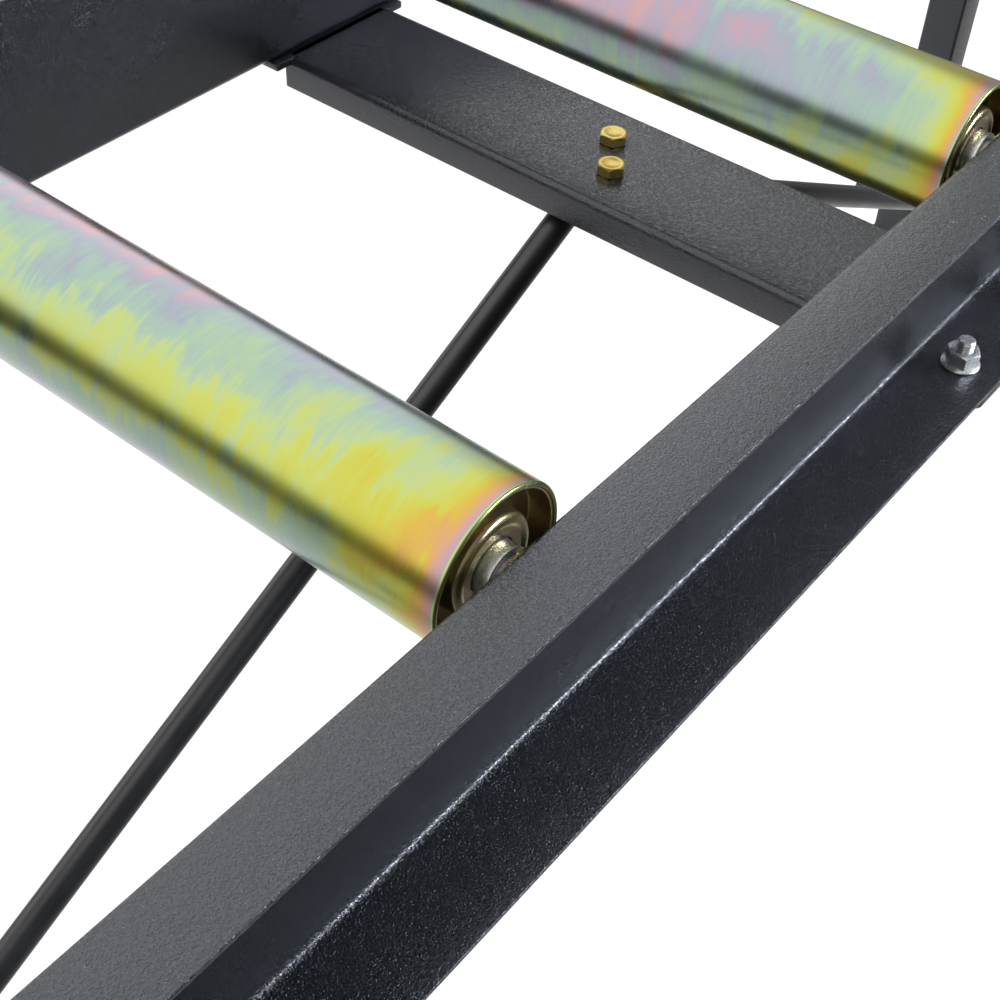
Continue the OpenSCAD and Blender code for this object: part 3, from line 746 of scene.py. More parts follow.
def yellow_zinc():
    """Yellow passivated zinc on the tubes: a drifting film with a band along it and rings at its ends."""
    finish = Finish("yellow_zinc", metallic=1.0)
    across, along, up = finish.node("ShaderNodeSeparateXYZ", {"Vector": finish.place}).outputs
    clouds = finish.noise(17 * MM, 3, 0.5, (1, 1.5, 1.5), 0.5)
    slow = finish.noise(60 * MM, 2, 0.5)
    flames = finish.noise(3.2 * MM, 3, 0.5, (1, 7, 7), 0.6)
    fine = finish.noise(1.3 * MM, 2, 0.6, (1, 14, 14), 0.4)
    from_end = finish.math("SUBTRACT", ROLLER_END, finish.math("ABSOLUTE", across))

    def fading(length):
        """1 at the tube's end, falling off over a length."""
        return finish.math("EXPONENT", finish.times(from_end, -1 / length))

    def drifting(value, *noises):
        return finish.plus(value, *[finish.follow(noise, -reach, reach, False) for noise, reach in noises])

    facing = finish.plus(finish.times(along, math.cos(FILM_BAND_TURN) / ROLLER_R),
                         finish.times(up, math.sin(FILM_BAND_TURN) / ROLLER_R))
    facing = drifting(finish.math("ABSOLUTE", facing), (flames, 0.07), (clouds, 0.12))
    band = finish.plus(finish.spread(facing, 0.8, 1, 0, FILM_BAND),
                       finish.spread(facing, 0.2, 0.8, FILM_BAND_EDGE, 0))
    film = finish.plus(FILM_BASE, band, finish.times(FILM_WIDE_END, fading(FILM_WIDE_LENGTH)))
    film = drifting(film, (clouds, 0.06), (slow, 0.05), (flames, 0.03), (fine, 0.02))
    film = finish.blend(fading(FILM_NEAR_LENGTH), film, FILM_NEAR_END)
    film = finish.plus(film, finish.spread(from_end, *FILM_RIM_FADE, FILM_RIM, 0))
    finish.set("Base Color", finish.ramp(finish.math("FRACT", film), FILM))
    finish.set("Roughness", finish.follow(clouds, 0.25, 0.31))
    finish.bump(flames, 0.02 * MM)


# The plain finishes: how metallic, the noise and tones of the colour, the noise and range of the roughness,
# and the noise and depth of the relief
PLAIN_FINISHES = {
    "satin_black": (
        0, (35 * MM, 3), ((0.3, (0.006, 0.006, 0.007)), (0.7, (0.011, 0.011, 0.013))),
        (35 * MM, 3), (0.34, 0.42), (2.2 * MM, 2), 0.05 * MM),
    "yellow_zinc_pressing": (
        0.95, (9 * MM, 3, 0.5), ((0.28, (0.46, 0.28, 0.26)), (0.42, (0.46, 0.33, 0.20)),
                                 (0.56, (0.40, 0.38, 0.16)), (0.72, (0.45, 0.33, 0.28))),
        (1.2 * MM, 3, 0.6), (0.20, 0.25)),
    "yellow_zinc_fastener": (
        0.95, (5 * MM, 3, 0.5),
        ((0.3, (0.42, 0.24, 0.06)), (0.5, (0.43, 0.32, 0.08)), (0.7, (0.34, 0.32, 0.11))),
        (0.8 * MM, 3, 0.6), (0.26, 0.38), (0.8 * MM, 3, 0.6), 0.015 * MM),
    "bright_zinc": (
        0.85, (7 * MM, 3, 0.5),
        ((0.3, (0.50, 0.52, 0.53)), (0.55, (0.60, 0.60, 0.57)), (0.75, (0.57, 0.53, 0.46))),
        (0.7 * MM, 3, 0.6), (0.24, 0.38), (0.7 * MM, 3, 0.6), 0.012 * MM),
    "axle_steel": (
        1, BAR_LINES, ((0.3, (0.26, 0.25, 0.24)), (0.7, (0.36, 0.35, 0.34))),
        BAR_LINES, (0.30, 0.42), BAR_LINES, 0.01 * MM),
    "bearing_steel": (
        1, RING_LINES, ((0.3, (0.36, 0.36, 0.38)), (0.7, (0.46, 0.46, 0.48))),
        RING_LINES, (0.16, 0.26), RING_LINES, 0.004 * MM),
    "black_plastic": (
        0, (20 * MM, 3), ((0.3, (0.010, 0.010, 0.011)), (0.7, (0.016, 0.016, 0.018))),
        (20 * MM, 3), (0.42, 0.52), (0.5 * MM, 2, 0.6), 0.03 * MM),
}


def finishes():
    powder_coat()
    yellow_zinc()
    for name, settings in PLAIN_FINISHES.items():
        plain_finish(name, *settings)


def piece(name, shell, slot, body, *nodes, place=None, turn=0, sharp=32):
    """A finished piece on its body, in the place of the CAD nodes named."""
    obj = mesh_object(name, shell)
    mesh = obj.data
    mesh.polygons.foreach_set("use_smooth", [True] * len(mesh.polygons))
    mesh.set_sharp_from_angle(angle=math.radians(sharp))
    mesh.materials.append(FINISHES[slot])
    if place is not None:
        obj.location = place
        obj.rotation_euler.x = turn
    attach(obj, body)
    if nodes:
        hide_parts(*nodes)
    return obj


# Rails


def rail_outline():
    """The channel's outline across the rail, from the web's inner face and the rail's underside."""
    height = RAIL_TOP - RAIL_UNDER
    t = RAIL_SHEET
    return rounded([
        (0, 0, RAIL_BEND + t), (BOTTOM_FLANGE, 0, SHEET_EDGE), (BOTTOM_FLANGE, t, SHEET_EDGE),
        (t, t, RAIL_FOLD), (t, height - t, RAIL_BEND), (TOP_FLANGE, height - t, SHEET_EDGE),
        (TOP_FLANGE, height, SHEET_EDGE), (0, height, RAIL_TOP_BEND),
    ], FOLD_STEPS)


def bolt_places():
    """The frame bolts of the right side, on the floor plan."""
    return [(BOLT_X, y + side * BOLT_SPACING / 2) for y in (-LEG_Y, 0, LEG_Y) for side in (-1, 1)]


def rail():
    outline = rail_outline()
    rings = [[Vector((WEB_X + p.x, y, RAIL_UNDER + p.y)) for p in outline] for y in (-RAIL_END, RAIL_END)]
    depth = 4 * RAIL_SHEET
    axle_hole = drill(AXLE_THREAD_D / 2 + AXLE_HOLE_GAP, depth).moved(ALONG_X)
    holes = [axle_hole.at(WEB_X + RAIL_SHEET / 2, p.y, p.z) for p in ROLLER_PLACES.values()]
    holes += bolt_drills(depth, *[(x, y, RAIL_UNDER + RAIL_SHEET / 2) for x, y in bolt_places()])
    return drilled(loft(rings), holes)


def rails():
    right = rail()
    piece("side_rail_right", right, "powder_coat", "frame", "rail_right")
    piece("side_rail_left", right.moved(FLIP_X), "powder_coat", "frame", "rail_left")


# Crossmembers and leg frames


def cross_channel():
    """The crossmember's channel, open downward."""
    half = CROSS_W / 2
    t = CROSS_SHEET
    outline = rounded([
        (-half, -CROSS_DEPTH, SHEET_EDGE), (-half, 0, CROSS_BEND + t), (half, 0, CROSS_BEND + t),
        (half, -CROSS_DEPTH, SHEET_EDGE), (half - t, -CROSS_DEPTH, SHEET_EDGE), (half - t, -t, CROSS_BEND),
        (t - half, -t, CROSS_BEND), (t - half, -CROSS_DEPTH, SHEET_EDGE),
    ], FOLD_STEPS)
    return loft([[Vector((x, p.x, RAIL_UNDER + p.y)) for p in outline] for x in (-WEB_X, WEB_X)])


def end_plate():
    """The plate under the right rail at a crossmember's end, with its bolt holes."""
    x0 = WEB_X - PLATE_REACH
    x1 = WEB_X + BOTTOM_FLANGE
    half = PLATE_LENGTH / 2

    def outline(grow):
        r = PLATE_ROUND + grow
        return rounded([(x0 - grow, -half - grow, PLATE_INNER_ROUND), (x1 + grow, -half - grow, r),
                        (x1 + grow, half + grow, r), (x0 - grow, half + grow, PLATE_INNER_ROUND)])

    holes = bolt_drills(4 * PLATE_T, *[(BOLT_X, side * BOLT_SPACING / 2, PLATE_UNDER) for side in (-1, 1)])
    return drilled(slab(outline, PLATE_UNDER, RAIL_UNDER, PLATE_EDGE), holes)


def both_sides(shell):
    return Shell(shell.points, shell.faces).add(shell.moved(FLIP_X))


def crossmember(*stay_holes):
    """A channel with a plate on each end; stay_holes are the places of the stays' bolts."""
    channel = cross_channel()
    if stay_holes:
        channel = drilled(channel, bolt_drills(8 * CROSS_SHEET, *stay_holes))
    step = CROSS_W / 2 - CROSS_SHEET - CROSS_BEND
    edge_x = WEB_X - PLATE_REACH
    weld = bead([(edge_x, -step, TAB_TOP), (edge_x, step, TAB_TOP)], PLATE_WELD_R, False)
    return channel.add(both_sides(end_plate().add(weld)))


def square_path(half, radius, place):
    """The points of a weld round a square tube; place makes a point of two lengths."""
    return [place(p.x, p.y) for p in rectangle(-half, half, -half, half, radius, 0, 3)]


def leg_frame():
    """Crossmember, two square tubes, a lower crossbar and the clamps' nuts, welded together."""
    half = LEG_W / 2
    bar_z = CROSSBAR_TOP - CROSSBAR_W / 2
    tube = box_tube(LEG_W, LEG_WALL, LEG_ROUND, PLATE_UNDER - LEG_MOUTH, TUBE_EDGE).at(LEG_X, 0, LEG_MOUTH)
    side = drilled(tube, [drill(CLAMP_D / 2, LEG_W).moved(ALONG_X).at(LEG_X + half, 0, CLAMP_Z)])
    top_path = square_path(half, LEG_ROUND, lambda u, v: (LEG_X + u, v, PLATE_UNDER - LEG_WELD_DROP))
    bar_path = square_path(CROSSBAR_W / 2, CROSSBAR_ROUND, lambda u, v: (WEB_X - BAR_WELD_GAP, u, bar_z + v))
    nut_ring = round_ring(CLAMP_NUT_FLATS * NUT_WELD_SHARE, 0, 24)
    nut_path = [(LEG_X + half + NUT_WELD_GAP, p.x, CLAMP_Z + p.y) for p in nut_ring]
    side.add(bead(top_path, LEG_WELD_R, True)).add(bead(bar_path, BAR_WELD_R, True))
    side.add(plain_nut(CLAMP_NUT_FLATS, CLAMP_NUT_H, CLAMP_D / 2).moved(ALONG_X).at(LEG_X + half, 0, CLAMP_Z))
    side.add(bead(nut_path, NUT_WELD_R, True))
    bar = box_tube(CROSSBAR_W, CROSSBAR_WALL, CROSSBAR_ROUND, 2 * WEB_X, CROSSBAR_EDGE)
    bar = bar.at(0, 0, -WEB_X).moved(ALONG_X).at(0, 0, bar_z)
    bar = drilled(bar, bolt_drills(2 * CROSSBAR_W, (-STAY_OFFSET, 0, bar_z)))
    return crossmember().add(both_sides(side)).add(bar)


def frames():
    middle = crossmember((-STAY_OFFSET, STAY_BOLT_Y, TAB_TOP), (STAY_OFFSET, -STAY_BOLT_Y, TAB_TOP))
    piece("middle_crossmember", middle, "powder_coat", "frame", "centre_crossmember")
    leg = leg_frame().at(0, -LEG_Y, 0)
    piece("front_leg_frame", leg, "powder_coat", "frame", "leg_frame_front")
    piece("rear_leg_frame", leg.moved(HALF_TURN), "powder_coat", "frame", "leg_frame_rear")


# Rollers


def roller_tube():
    inner = ROLLER_R - TUBE_WALL
    return lathed([
        (inner, -ROLLER_END, TUBE_INNER_ROUND), (ROLLER_R, -ROLLER_END, TUBE_ROUND),
        (ROLLER_R, ROLLER_END, TUBE_ROUND), (inner, ROLLER_END, TUBE_INNER_ROUND),
    ], FOLD_STEPS, 160).moved(ALONG_X)


def housing():
    """The right bearing housing: one pressed sheet, down the tube's wall, across and out over the bearing."""
    t = HOUSING_SHEET
    rim_r = ROLLER_R - TUBE_WALL - HOUSING_FIT
    seat_r = BEARING_D / 2 + HOUSING_FIT
    hole_r = SPACER_D / 2 + BOSS_HOLE_GAP
    wall_end = HOUSING_DEPTH + t
    back = BEARING_FACE
    face = BOSS_RECESS + BOSS_DISH + BOSS_FACE_SINK
    shape = lathed([
        (rim_r, HOUSING_LIP, HOUSING_EDGE), (rim_r, wall_end, HOUSING_BEND + t),
        (seat_r, wall_end, HOUSING_BEND), (seat_r, back - BOSS_SHOULDER_DROP, BOSS_SEAT_ROUND),
        (BOSS_CREST_R + EASE, back - BOSS_BACK_DROP, BOSS_BACK_ROUND),
        (BEARING_D / 2 - BEARING_SEAT_W, back, EASE), (hole_r, back, FINE_EASE), (hole_r, face, EASE),
        (BOSS_CREASE_R, face, BOSS_CREASE_ROUND),
        (BOSS_CREST_R, BOSS_RECESS - BOSS_CREST_RISE, BOSS_CREST_ROUND),
        (seat_r + t, BOSS_RECESS + BOSS_SHOULDER_DROP, BOSS_SHOULDER_ROUND),
        (seat_r + t, HOUSING_DEPTH, HOUSING_BEND),
        (rim_r - t, HOUSING_DEPTH, HOUSING_BEND), (rim_r - t, HOUSING_LIP, HOUSING_EDGE),
    ], 8, 128)
    return shape.moved(FLIP_Z).at(0, 0, ROLLER_END).moved(ALONG_X)


def spacer():
    """The right spacer between a bearing's inner ring and the washer."""
    bore = BEARING_BORE / 2
    out = SPACER_D / 2
    start = ROLLER_END - BEARING_FACE
    end = ROLLER_END + SPACER_PROUD
    corners = [(bore, start, FINE_EASE), (out, start, EASE), (out, end, EASE), (bore, end, FINE_EASE)]
    return lathed(corners, 3, 96).moved(ALONG_X)


def axle():
    """A turned bar with bearing seats, and a thread on each end."""
    core_r = AXLE_CORE_D / 2
    bore = BEARING_BORE / 2
    seat_r = bore - HOUSING_FIT
    thread_r = AXLE_THREAD_D / 2
    core_x = ROLLER_END - BEARING_FACE - BEARING_W
    seat_x = WEB_X - WASHER_T
    thread_x = AXLE_NUT_X + AXLE_NUT_H - AXLE_PITCH
    sides = 40
    steps = [(core_r, 0), (core_r, core_x - AXLE_EASE), (core_r - AXLE_EASE, core_x), (seat_r, core_x),
             (seat_r, seat_x - AXLE_EASE), (bore - AXLE_SEAT_STEP, seat_x),
             (thread_r, seat_x), (thread_r, thread_x)]
    half = [round_ring(r, z, sides) for r, z in steps]
    half += thread_rings(thread_r, AXLE_PITCH, thread_x, AXLE_END, sides)
    other = [[Vector((p.x, p.y, -p.z)) for p in ring] for ring in reversed(half[1:])]
    return loft(other + half).moved(ALONG_X)


def washer(x):
    bore = AXLE_THREAD_D / 2 + AXLE_HOLE_GAP
    out = WASHER_D / 2
    corners = [(bore, 0, FINE_EASE), (out, 0, WASHER_ROUND), (out, WASHER_T, EASE), (bore, WASHER_T, EASE)]
    return lathed(corners, 4, 72).moved(ALONG_X).at(x, 0, 0)


def on_each_axle(shell):
    """Copies of a right-hand piece on both ends of every axle."""
    pair = both_sides(shell)
    return joined(pair.at(*place) for place in ROLLER_PLACES.values())


def rollers():
    tube = roller_tube()
    housings = both_sides(housing())
    for i, place in ROLLER_PLACES.items():
        turn = ROLLER_TURN * (i - UNTURNED_ROLLER)
        body = f"roller_{i}"
        piece(f"roller_tube_{i}", tube, "yellow_zinc", body, f"{body}_tube", place=place, turn=turn)
        piece(f"bearing_housings_{i}", housings, "yellow_zinc_pressing", body, f"{body}_housings",
              place=place, turn=turn)
    bars = joined(axle().at(*place) for place in ROLLER_PLACES.values())
    piece("axles", bars, "axle_steel", "frame", "roller_axles")
    piece("spacers", on_each_axle(spacer()), "bright_zinc", "frame", "axle_spacers")
    washers = washer(WEB_X - WASHER_T).add(washer(WEB_OUT))
    piece("washers", on_each_axle(washers), "yellow_zinc_pressing", "frame", "axle_washers")
    nut = plain_nut(AXLE_NUT_FLATS, AXLE_NUT_H, AXLE_THREAD_D / 2).moved(ALONG_X).at(AXLE_NUT_X, 0, 0)
    piece("axle_lock_nuts", on_each_axle(nut), "bright_zinc", "frame", "axle_nuts")


# Fasteners of the frame


def turned_about_z(shell, degrees):
    return shell.moved(Matrix.Rotation(math.radians(degrees), 4, "Z"))


def frame_fasteners():
    length = PLATE_T + RAIL_SHEET + FLANGE_NUT_H + BOLT_TAIL
    bolt = headed(flange_rings(BOLT_HEAD_H), length, length - BOLT_TAIL - BOLT_PITCH)
    nut = bored(flange_rings(FLANGE_NUT_H), BOLT_D / 2, FLANGE_NUT_H)
    bolts = Shell()
    nuts = Shell()
    for x, y in bolt_places():
        bolts.add(turned_about_z(bolt, random.uniform(0, 60)).at(x, y, PLATE_UNDER))
        turn = NUT_TURN + random.uniform(-NUT_TURN_REACH, NUT_TURN_REACH)
        nuts.add(turned_about_z(nut, turn).at(x, y, RAIL_UNDER + RAIL_SHEET))
    nuts = both_sides(nuts)
    stay_nuts = nut.moved(FLIP_Z).at(-STAY_OFFSET, STAY_BOLT_Y, TAB_TOP - STAY_TAB_T)
    stay_nuts.add(nut.moved(FLIP_Z).at(-STAY_OFFSET, -LEG_Y, CROSSBAR_TOP - CROSSBAR_W))
    nuts.add(stay_nuts).add(stay_nuts.moved(HALF_TURN))
    piece("frame_flange_bolts", both_sides(bolts), "bright_zinc", "frame", "frame_bolts")
    piece("frame_flange_nuts", nuts, "bright_zinc", "frame", "flange_nuts")
    stay_bolts = Shell()
    upper = (CROSS_SHEET, STAY_BOLT_Y, RAIL_UNDER)
    lower = (CROSSBAR_W, -LEG_Y, CROSSBAR_TOP + STAY_TAB_T)
    for gripped, y, z in (upper, lower):
        plain = STAY_TAB_T + gripped + FLANGE_NUT_H - BOLT_PITCH
        bolt = hexagon_bolt(plain + BOLT_PITCH + STAY_BOLT_TAIL, plain)
        stay_bolts.add(bolt.moved(FLIP_Z).at(-STAY_OFFSET, y, z))
    stay_bolts.add(stay_bolts.moved(HALF_TURN))
    piece("stay_hexagon_bolts", stay_bolts, "yellow_zinc_fastener", "frame", "stay_bolts")


# Stays


def stay_section(half_w, half_t, power, centre, up):
    """A ring across a stay: a rounded box for a high power and an ellipse for a power of 2."""
    sides = 48
    ring = []
    for k in range(sides):
        turn = 2 * math.pi * k / sides
        c = math.cos(turn)
        s = math.sin(turn)
        x = half_w * math.copysign(abs(c) ** (2 / power), c)
        lift = half_t * math.copysign(abs(s) ** (2 / power), s)
        ring.append(Vector((centre.x + x, centre.y, centre.z)) + up * lift)
    return ring


def stay():
    """The front stay: a round rod with ends pressed flat, from the middle down to the front leg frame."""
    half_w = STAY_TAB_W / 2
    half_t = STAY_TAB_T / 2
    r = STAY_D / 2
    tab_z = TAB_TOP - half_t
    foot_z = CROSSBAR_TOP + half_t
    start = Vector((-STAY_OFFSET, STAY_BOLT_Y - BOLT_FLANGE_D / 2 - STAY_NUT_GAP, tab_z))
    top = Vector((-STAY_OFFSET, -STAY_TOP_Y, TAB_TOP - STAY_TOP_DROP))
    foot_bend = Vector((-STAY_OFFSET, STAY_FOOT_REACH - LEG_Y, foot_z))
    slope = math.atan2(top.z - foot_bend.z, top.y - foot_bend.y)
    bottom = foot_bend + Vector((0, math.cos(slope), math.sin(slope))) * STAY_FOOT_TAPER
    flat_up = Vector((0, 0, 1))
    rod_up = Vector((0, -math.sin(slope), math.cos(slope)))

    def section(centre, share):
        """A ring on the way from the flat end, at 0, to the round rod, at 1."""
        power = STAY_TAB_POWER + (2 - STAY_TAB_POWER) * min(1, share * 1.6)
        up = flat_up.lerp(rod_up, share).normalized()
        return stay_section(half_w + (r - half_w) * share, half_t + (r - half_t) * share, power, centre, up)

    def nose(y_bolt, z, outward):
        """Rings from a tab's round tip to the middle of its hole."""
        turns = [math.pi / 2 * share for share in shares(8)]
        return [stay_section(max(half_w * math.sin(turn), STAY_TIP), half_t, STAY_TAB_POWER,
                             Vector((-STAY_OFFSET, y_bolt + outward * half_w * math.cos(turn), z)), flat_up)
                for turn in turns]

    rings = nose(STAY_BOLT_Y, tab_z, 1)
    for t in shares(12):
        centre = start.lerp(top, t)
        centre.z = tab_z + (top.z - tab_z) * (0.35 * t + 0.65 * t * t)
        rings.append(section(centre, eased(t)))
    rings += [section(top.lerp(bottom, t), 1) for t in shares(40)[1:-1]]
    rings += [section(bottom.lerp(foot_bend, t), 1 - eased(t)) for t in shares(12)]
    rings += reversed(nose(-LEG_Y, foot_z, -1))
    places = [(-STAY_OFFSET, STAY_BOLT_Y, tab_z), (-STAY_OFFSET, -LEG_Y, foot_z)]
    return drilled(loft(rings), bolt_drills(4 * STAY_TAB_T, *places))


def stays():
    front = stay()
    piece("stay_rod_front", front, "satin_black", "frame", "stay_front")
    piece("stay_rod_rear", front.moved(HALF_TURN), "satin_black", "frame", "stay_rear")


# Telescopic legs


def at_corners(*parts):
    """Pieces for each leg, made for a leg on the Z axis: name, shell, slot, body and CAD node, or none."""
    for corner, place in LEG_PLACES.items():
        for name, shell, slot, body, node in parts:
            nodes = [f"{node}_{corner}"] if node else []
            piece(f"{name}_{corner}", shell.at(place.x, place.y, 0), slot, f"{body}_{corner}", *nodes)


def collar():
    """The moulded cap on an outer tube's lower end, about the leg's axis."""
    out = (COLLAR_HIGH.x - LEG_X, COLLAR_ROUND)
    seat = (LEG_W / 2 + PLUG_GAP, LEG_ROUND)
    opening = (INNER_HALF + LEG_STOP_GAP, LEG_INNER_ROUND)
    low = COLLAR_LOW.z
    high = COLLAR_HIGH.z
    e = MOULD_EDGE
    n = 0.3 * e
    levels = ((*out, -e, low), (*out, -n, low + n), (*out, 0, low + e),
              (*out, 0, high - e), (*out, -n, high - n), (*out, -e, high),
              (*seat, 0, high), (*seat, 0, LEG_MOUTH),
              (*opening, 0, LEG_MOUTH), (*opening, 0, low + TUBE_EDGE), (*opening, TUBE_EDGE, low))
    return loft(square_rings(levels), True)


def inner_leg():
    length = INNER_HIGH.z - INNER_LOW.z
    return box_tube(2 * INNER_HALF, LEG_INNER_WALL, LEG_INNER_ROUND, length, TUBE_EDGE).at(0, 0, INNER_LOW.z)


def leg_plug():
    """The plug in an inner leg's lower end, bored for the foot's spindle."""
    low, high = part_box("leg_plug_front_right")
    brim = ((high.x - low.x) / 2, LEG_INNER_ROUND)
    core = (INNER_HALF - LEG_INNER_WALL - PLUG_GAP, LEG_INNER_ROUND / 2)
    brim_top = INNER_LOW.z
    e = MOULD_EDGE
    n = 0.3 * e
    levels = ((*brim, -e, low.z), (*brim, 0, low.z + e), (*brim, 0, brim_top - n), (*brim, -n, brim_top),
              (*core, 0, brim_top), (*core, 0, high.z - e), (*core, -e, high.z))
    bore = drill(FOOT_D / 2, 4 * (high.z - low.z)).at(0, 0, low.z)
    return drilled(loft(square_rings(levels)), [bore])


def legs():
    collars = joined(collar().at(place.x, place.y, 0) for place in LEG_PLACES.values())
    piece("collars", collars, "black_plastic", "frame", "leg_collars")
    at_corners(("inner_leg", inner_leg(), "bright_zinc", "leg", "leg_inner"),
               ("plug", leg_plug(), "black_plastic", "leg", "leg_plug"))


# Clamp knobs


def knob_reach(knob_r):
    """Distance from the axis to the knob's edge for a turn: a disc with a round groove between its lobes."""
    groove_r = 2 * knob_r * KNOB_GROOVE_SHARE
    groove_x = 2 * knob_r * KNOB_GROOVE_PLACE_SHARE
    blend = KNOB_GROOVE_BLEND

    def reach(turn):
        angle = (turn * KNOB_LOBES) % 1
        angle = min(angle, 1 - angle) * 2 * math.pi / KNOB_LOBES
        across = groove_x * math.sin(angle)
        if across >= groove_r:
            edge = 2 * knob_r
        else:
            edge = groove_x * math.cos(angle) - math.sqrt(groove_r ** 2 - across ** 2)
        gap = max(blend - abs(knob_r - edge), 0) / blend
        return min(knob_r, edge) - gap * gap * blend / 4

    return reach


def knob_grip():
    """The star grip and its neck, along Z from the knob's place outward."""
    low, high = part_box("clamp_knob_front_right")
    knob_r = (high.y - low.y) / 2
    neck_r = KNOB_NECK_D / 2
    dish_r = knob_r * 0.5
    top = KNOB_NECK_H + KNOB_H
    e = KNOB_ROUND
    reach = knob_reach(knob_r)

    def star(inset):
        return lambda turn: reach(turn) - inset

    arc = [math.radians(15 * k) for k in range(7)]
    levels = [(neck_r - KNOB_NECK_EASE, 0), (neck_r, KNOB_NECK_EASE), (neck_r + e / 2, KNOB_NECK_H)]
    levels += [(star(e * (1 - math.sin(a))), KNOB_NECK_H + e * (1 - math.cos(a))) for a in arc]
    levels += [(star(e * (1 - math.cos(a))), top - e * (1 - math.sin(a))) for a in arc]
    levels += [(dish_r, top), (dish_r - KNOB_DISH_EDGE, top - KNOB_DISH_DROP),
               (dish_r * 0.3, top - KNOB_DISH_DEPTH)]
    return loft([round_ring(r, z, KNOB_LOBES * 24) for r, z in levels])


def knob_stud():
    """The threaded stud, along Z, from its tip in the leg's tube to the knob."""
    out = KNOB_X - INNER_HIGH.x - CLAMP_TIP_GAP
    length = out + KNOB_NECK_H / 2
    rings = thread_rings(CLAMP_D / 2, CLAMP_PITCH, 0, length, 32, 6)
    return loft(rings).moved(FLIP_Z).at(0, 0, length - out)


def knobs():
    grip = knob_grip()
    stud = knob_stud()
    for corner, place in LEG_PLACES.items():
        stand = Matrix.Translation((KNOB_X, place.y, CLAMP_Z)) @ ALONG_X
        if place.x < 0:
            stand = FLIP_X @ stand
        body = f"knob_{corner}"
        node = f"clamp_knob_{corner}"
        piece(f"star_knob_{corner}", grip.moved(stand), "black_plastic", body, node, sharp=40)
        piece(f"clamp_stud_{corner}", stud.moved(stand), "bright_zinc", body)


# Levelling feet


def foot_pad():
    """The moulded pad: a rounded edge and a hollow slope with ribs, up to the spindle's hexagon."""
    r = (FOOT_HIGH.x - FOOT_LOW.x) / 2
    top_r = PAD_TOP_D / 2
    rise = PAD_H - PAD_EDGE_H
    profile = [(r - PAD_UNDER_ROUND, 0), (r - EASE, EASE), (r, PAD_UNDER_ROUND),
               (r, PAD_EDGE_H - MOULD_EDGE), (r - EASE, PAD_EDGE_H - PAD_SHOULDER_DROP)]
    profile += [(r - (r - top_r) * t, PAD_EDGE_H + rise * (0.45 * t + 0.55 * t * t)) for t in shares(6)[1:]]
    pad = turned(profile + [(top_r - MOULD_EDGE, PAD_H)], 96, False)

    def rib_outline(grow):
        half = PAD_RIB_W / 2
        return rectangle(top_r - PAD_RIB_REACH, r - PAD_RIB_INSET, -half, half, EASE, grow)

    rib = slab(rib_outline, PAD_EDGE_H - PAD_RIB_REACH, PAD_EDGE_H + PAD_RIB_REACH, FINE_EASE)
    for point in rib.points:
        point.z += (r - point.x) / (r - top_r) * PAD_RIB_RISE
    for k in range(PAD_RIBS):
        pad.add(turned_about_z(rib, 360 / PAD_RIBS * k))
    return pad


def foot_spindle():
    """The threaded spindle with its hexagon, up from the pad."""
    hexagon_top = PAD_H + FOOT_FLATS_H
    hexagon = loft(hexagon_rings(FOOT_FLATS, PAD_H, hexagon_top))
    thread = thread_rings(FOOT_D / 2, FOOT_PITCH, hexagon_top - FOOT_THREAD_SINK, FOOT_HIGH.z, 28, 6)
    return hexagon.add(loft(thread))


def feet():
    at_corners(("foot_pad", foot_pad(), "black_plastic", "foot", "levelling_foot"),
               ("foot_spindle", foot_spindle(), "bright_zinc", "foot", None))


def dress_bearings():
    """The bearings keep their CAD shapes and get ground steel."""
    for name, obj in frame["nodes"].items():
        if name.endswith(("bearing_rings", "ball_cages", "bearing_inner_rings")):
            obj.data.materials.clear()
            obj.data.materials.append(FINISHES["bearing_steel"])


# Camera, floor and light

CAMERA_PLACE = (0.376, -0.5793, 1.12)
CAMERA_AZIMUTH = 36.829
CAMERA_ELEVATION = 44.358
CAMERA_ROLL = 3.212
CAMERA_LENS = 56.84
CAMERA_SENSOR = 36
CAMERA_CLIP = 0.05

# The floor's half width, grey and glow, which together give a near-white ground
FLOOR_REACH = 12
FLOOR_GREY = 0.3
FLOOR_EMISSION = 0.58

# Brightness of the studio's left and right walls, of its floor on either side, of the walls' dark foot and
# the floor's dark edge, and of the backdrop behind the object
SKY_LEFT = 2.35
SKY_RIGHT = 0.3
FLOOR_GLOW = 1.3
FLOOR_RIGHT = 0.5
WALL_FOOT = 0.04
FLOOR_EDGE = 0.08
BACKDROP = 0.98

# Parts of a direction between which the walls change: from left to right, from the horizon up, from front to
# back, where the horizon lies this much lower, and into the back right corner, where this share is left. The
# floor fades towards the walls between two more such parts on the left, and two on the right
LEFT_TO_RIGHT = (-0.12, 0.45)
HORIZON = (0.02, 0.17)
FRONT_TO_BACK = (-0.35, 0.35)
BACK_LIFT = 0.16
BACK_CORNER = (0.37, 0.64)
BACK_CORNER_SHARE = 0.25
FLOOR_LEFT_FADE = (-0.40, -0.19)
FLOOR_RIGHT_FADE = (-0.90, -0.02)

# The strip light on the right
LAMP_PLACE = Vector((1.95, 1.13, 1.82))
LAMP_TARGET = Vector((0.2, -0.3, 0.75))
LAMP_SIZE = (1.7, 0.25)
LAMP_WATTS = 125
LAMP_COLOUR = (0.84, 0.9, 1)


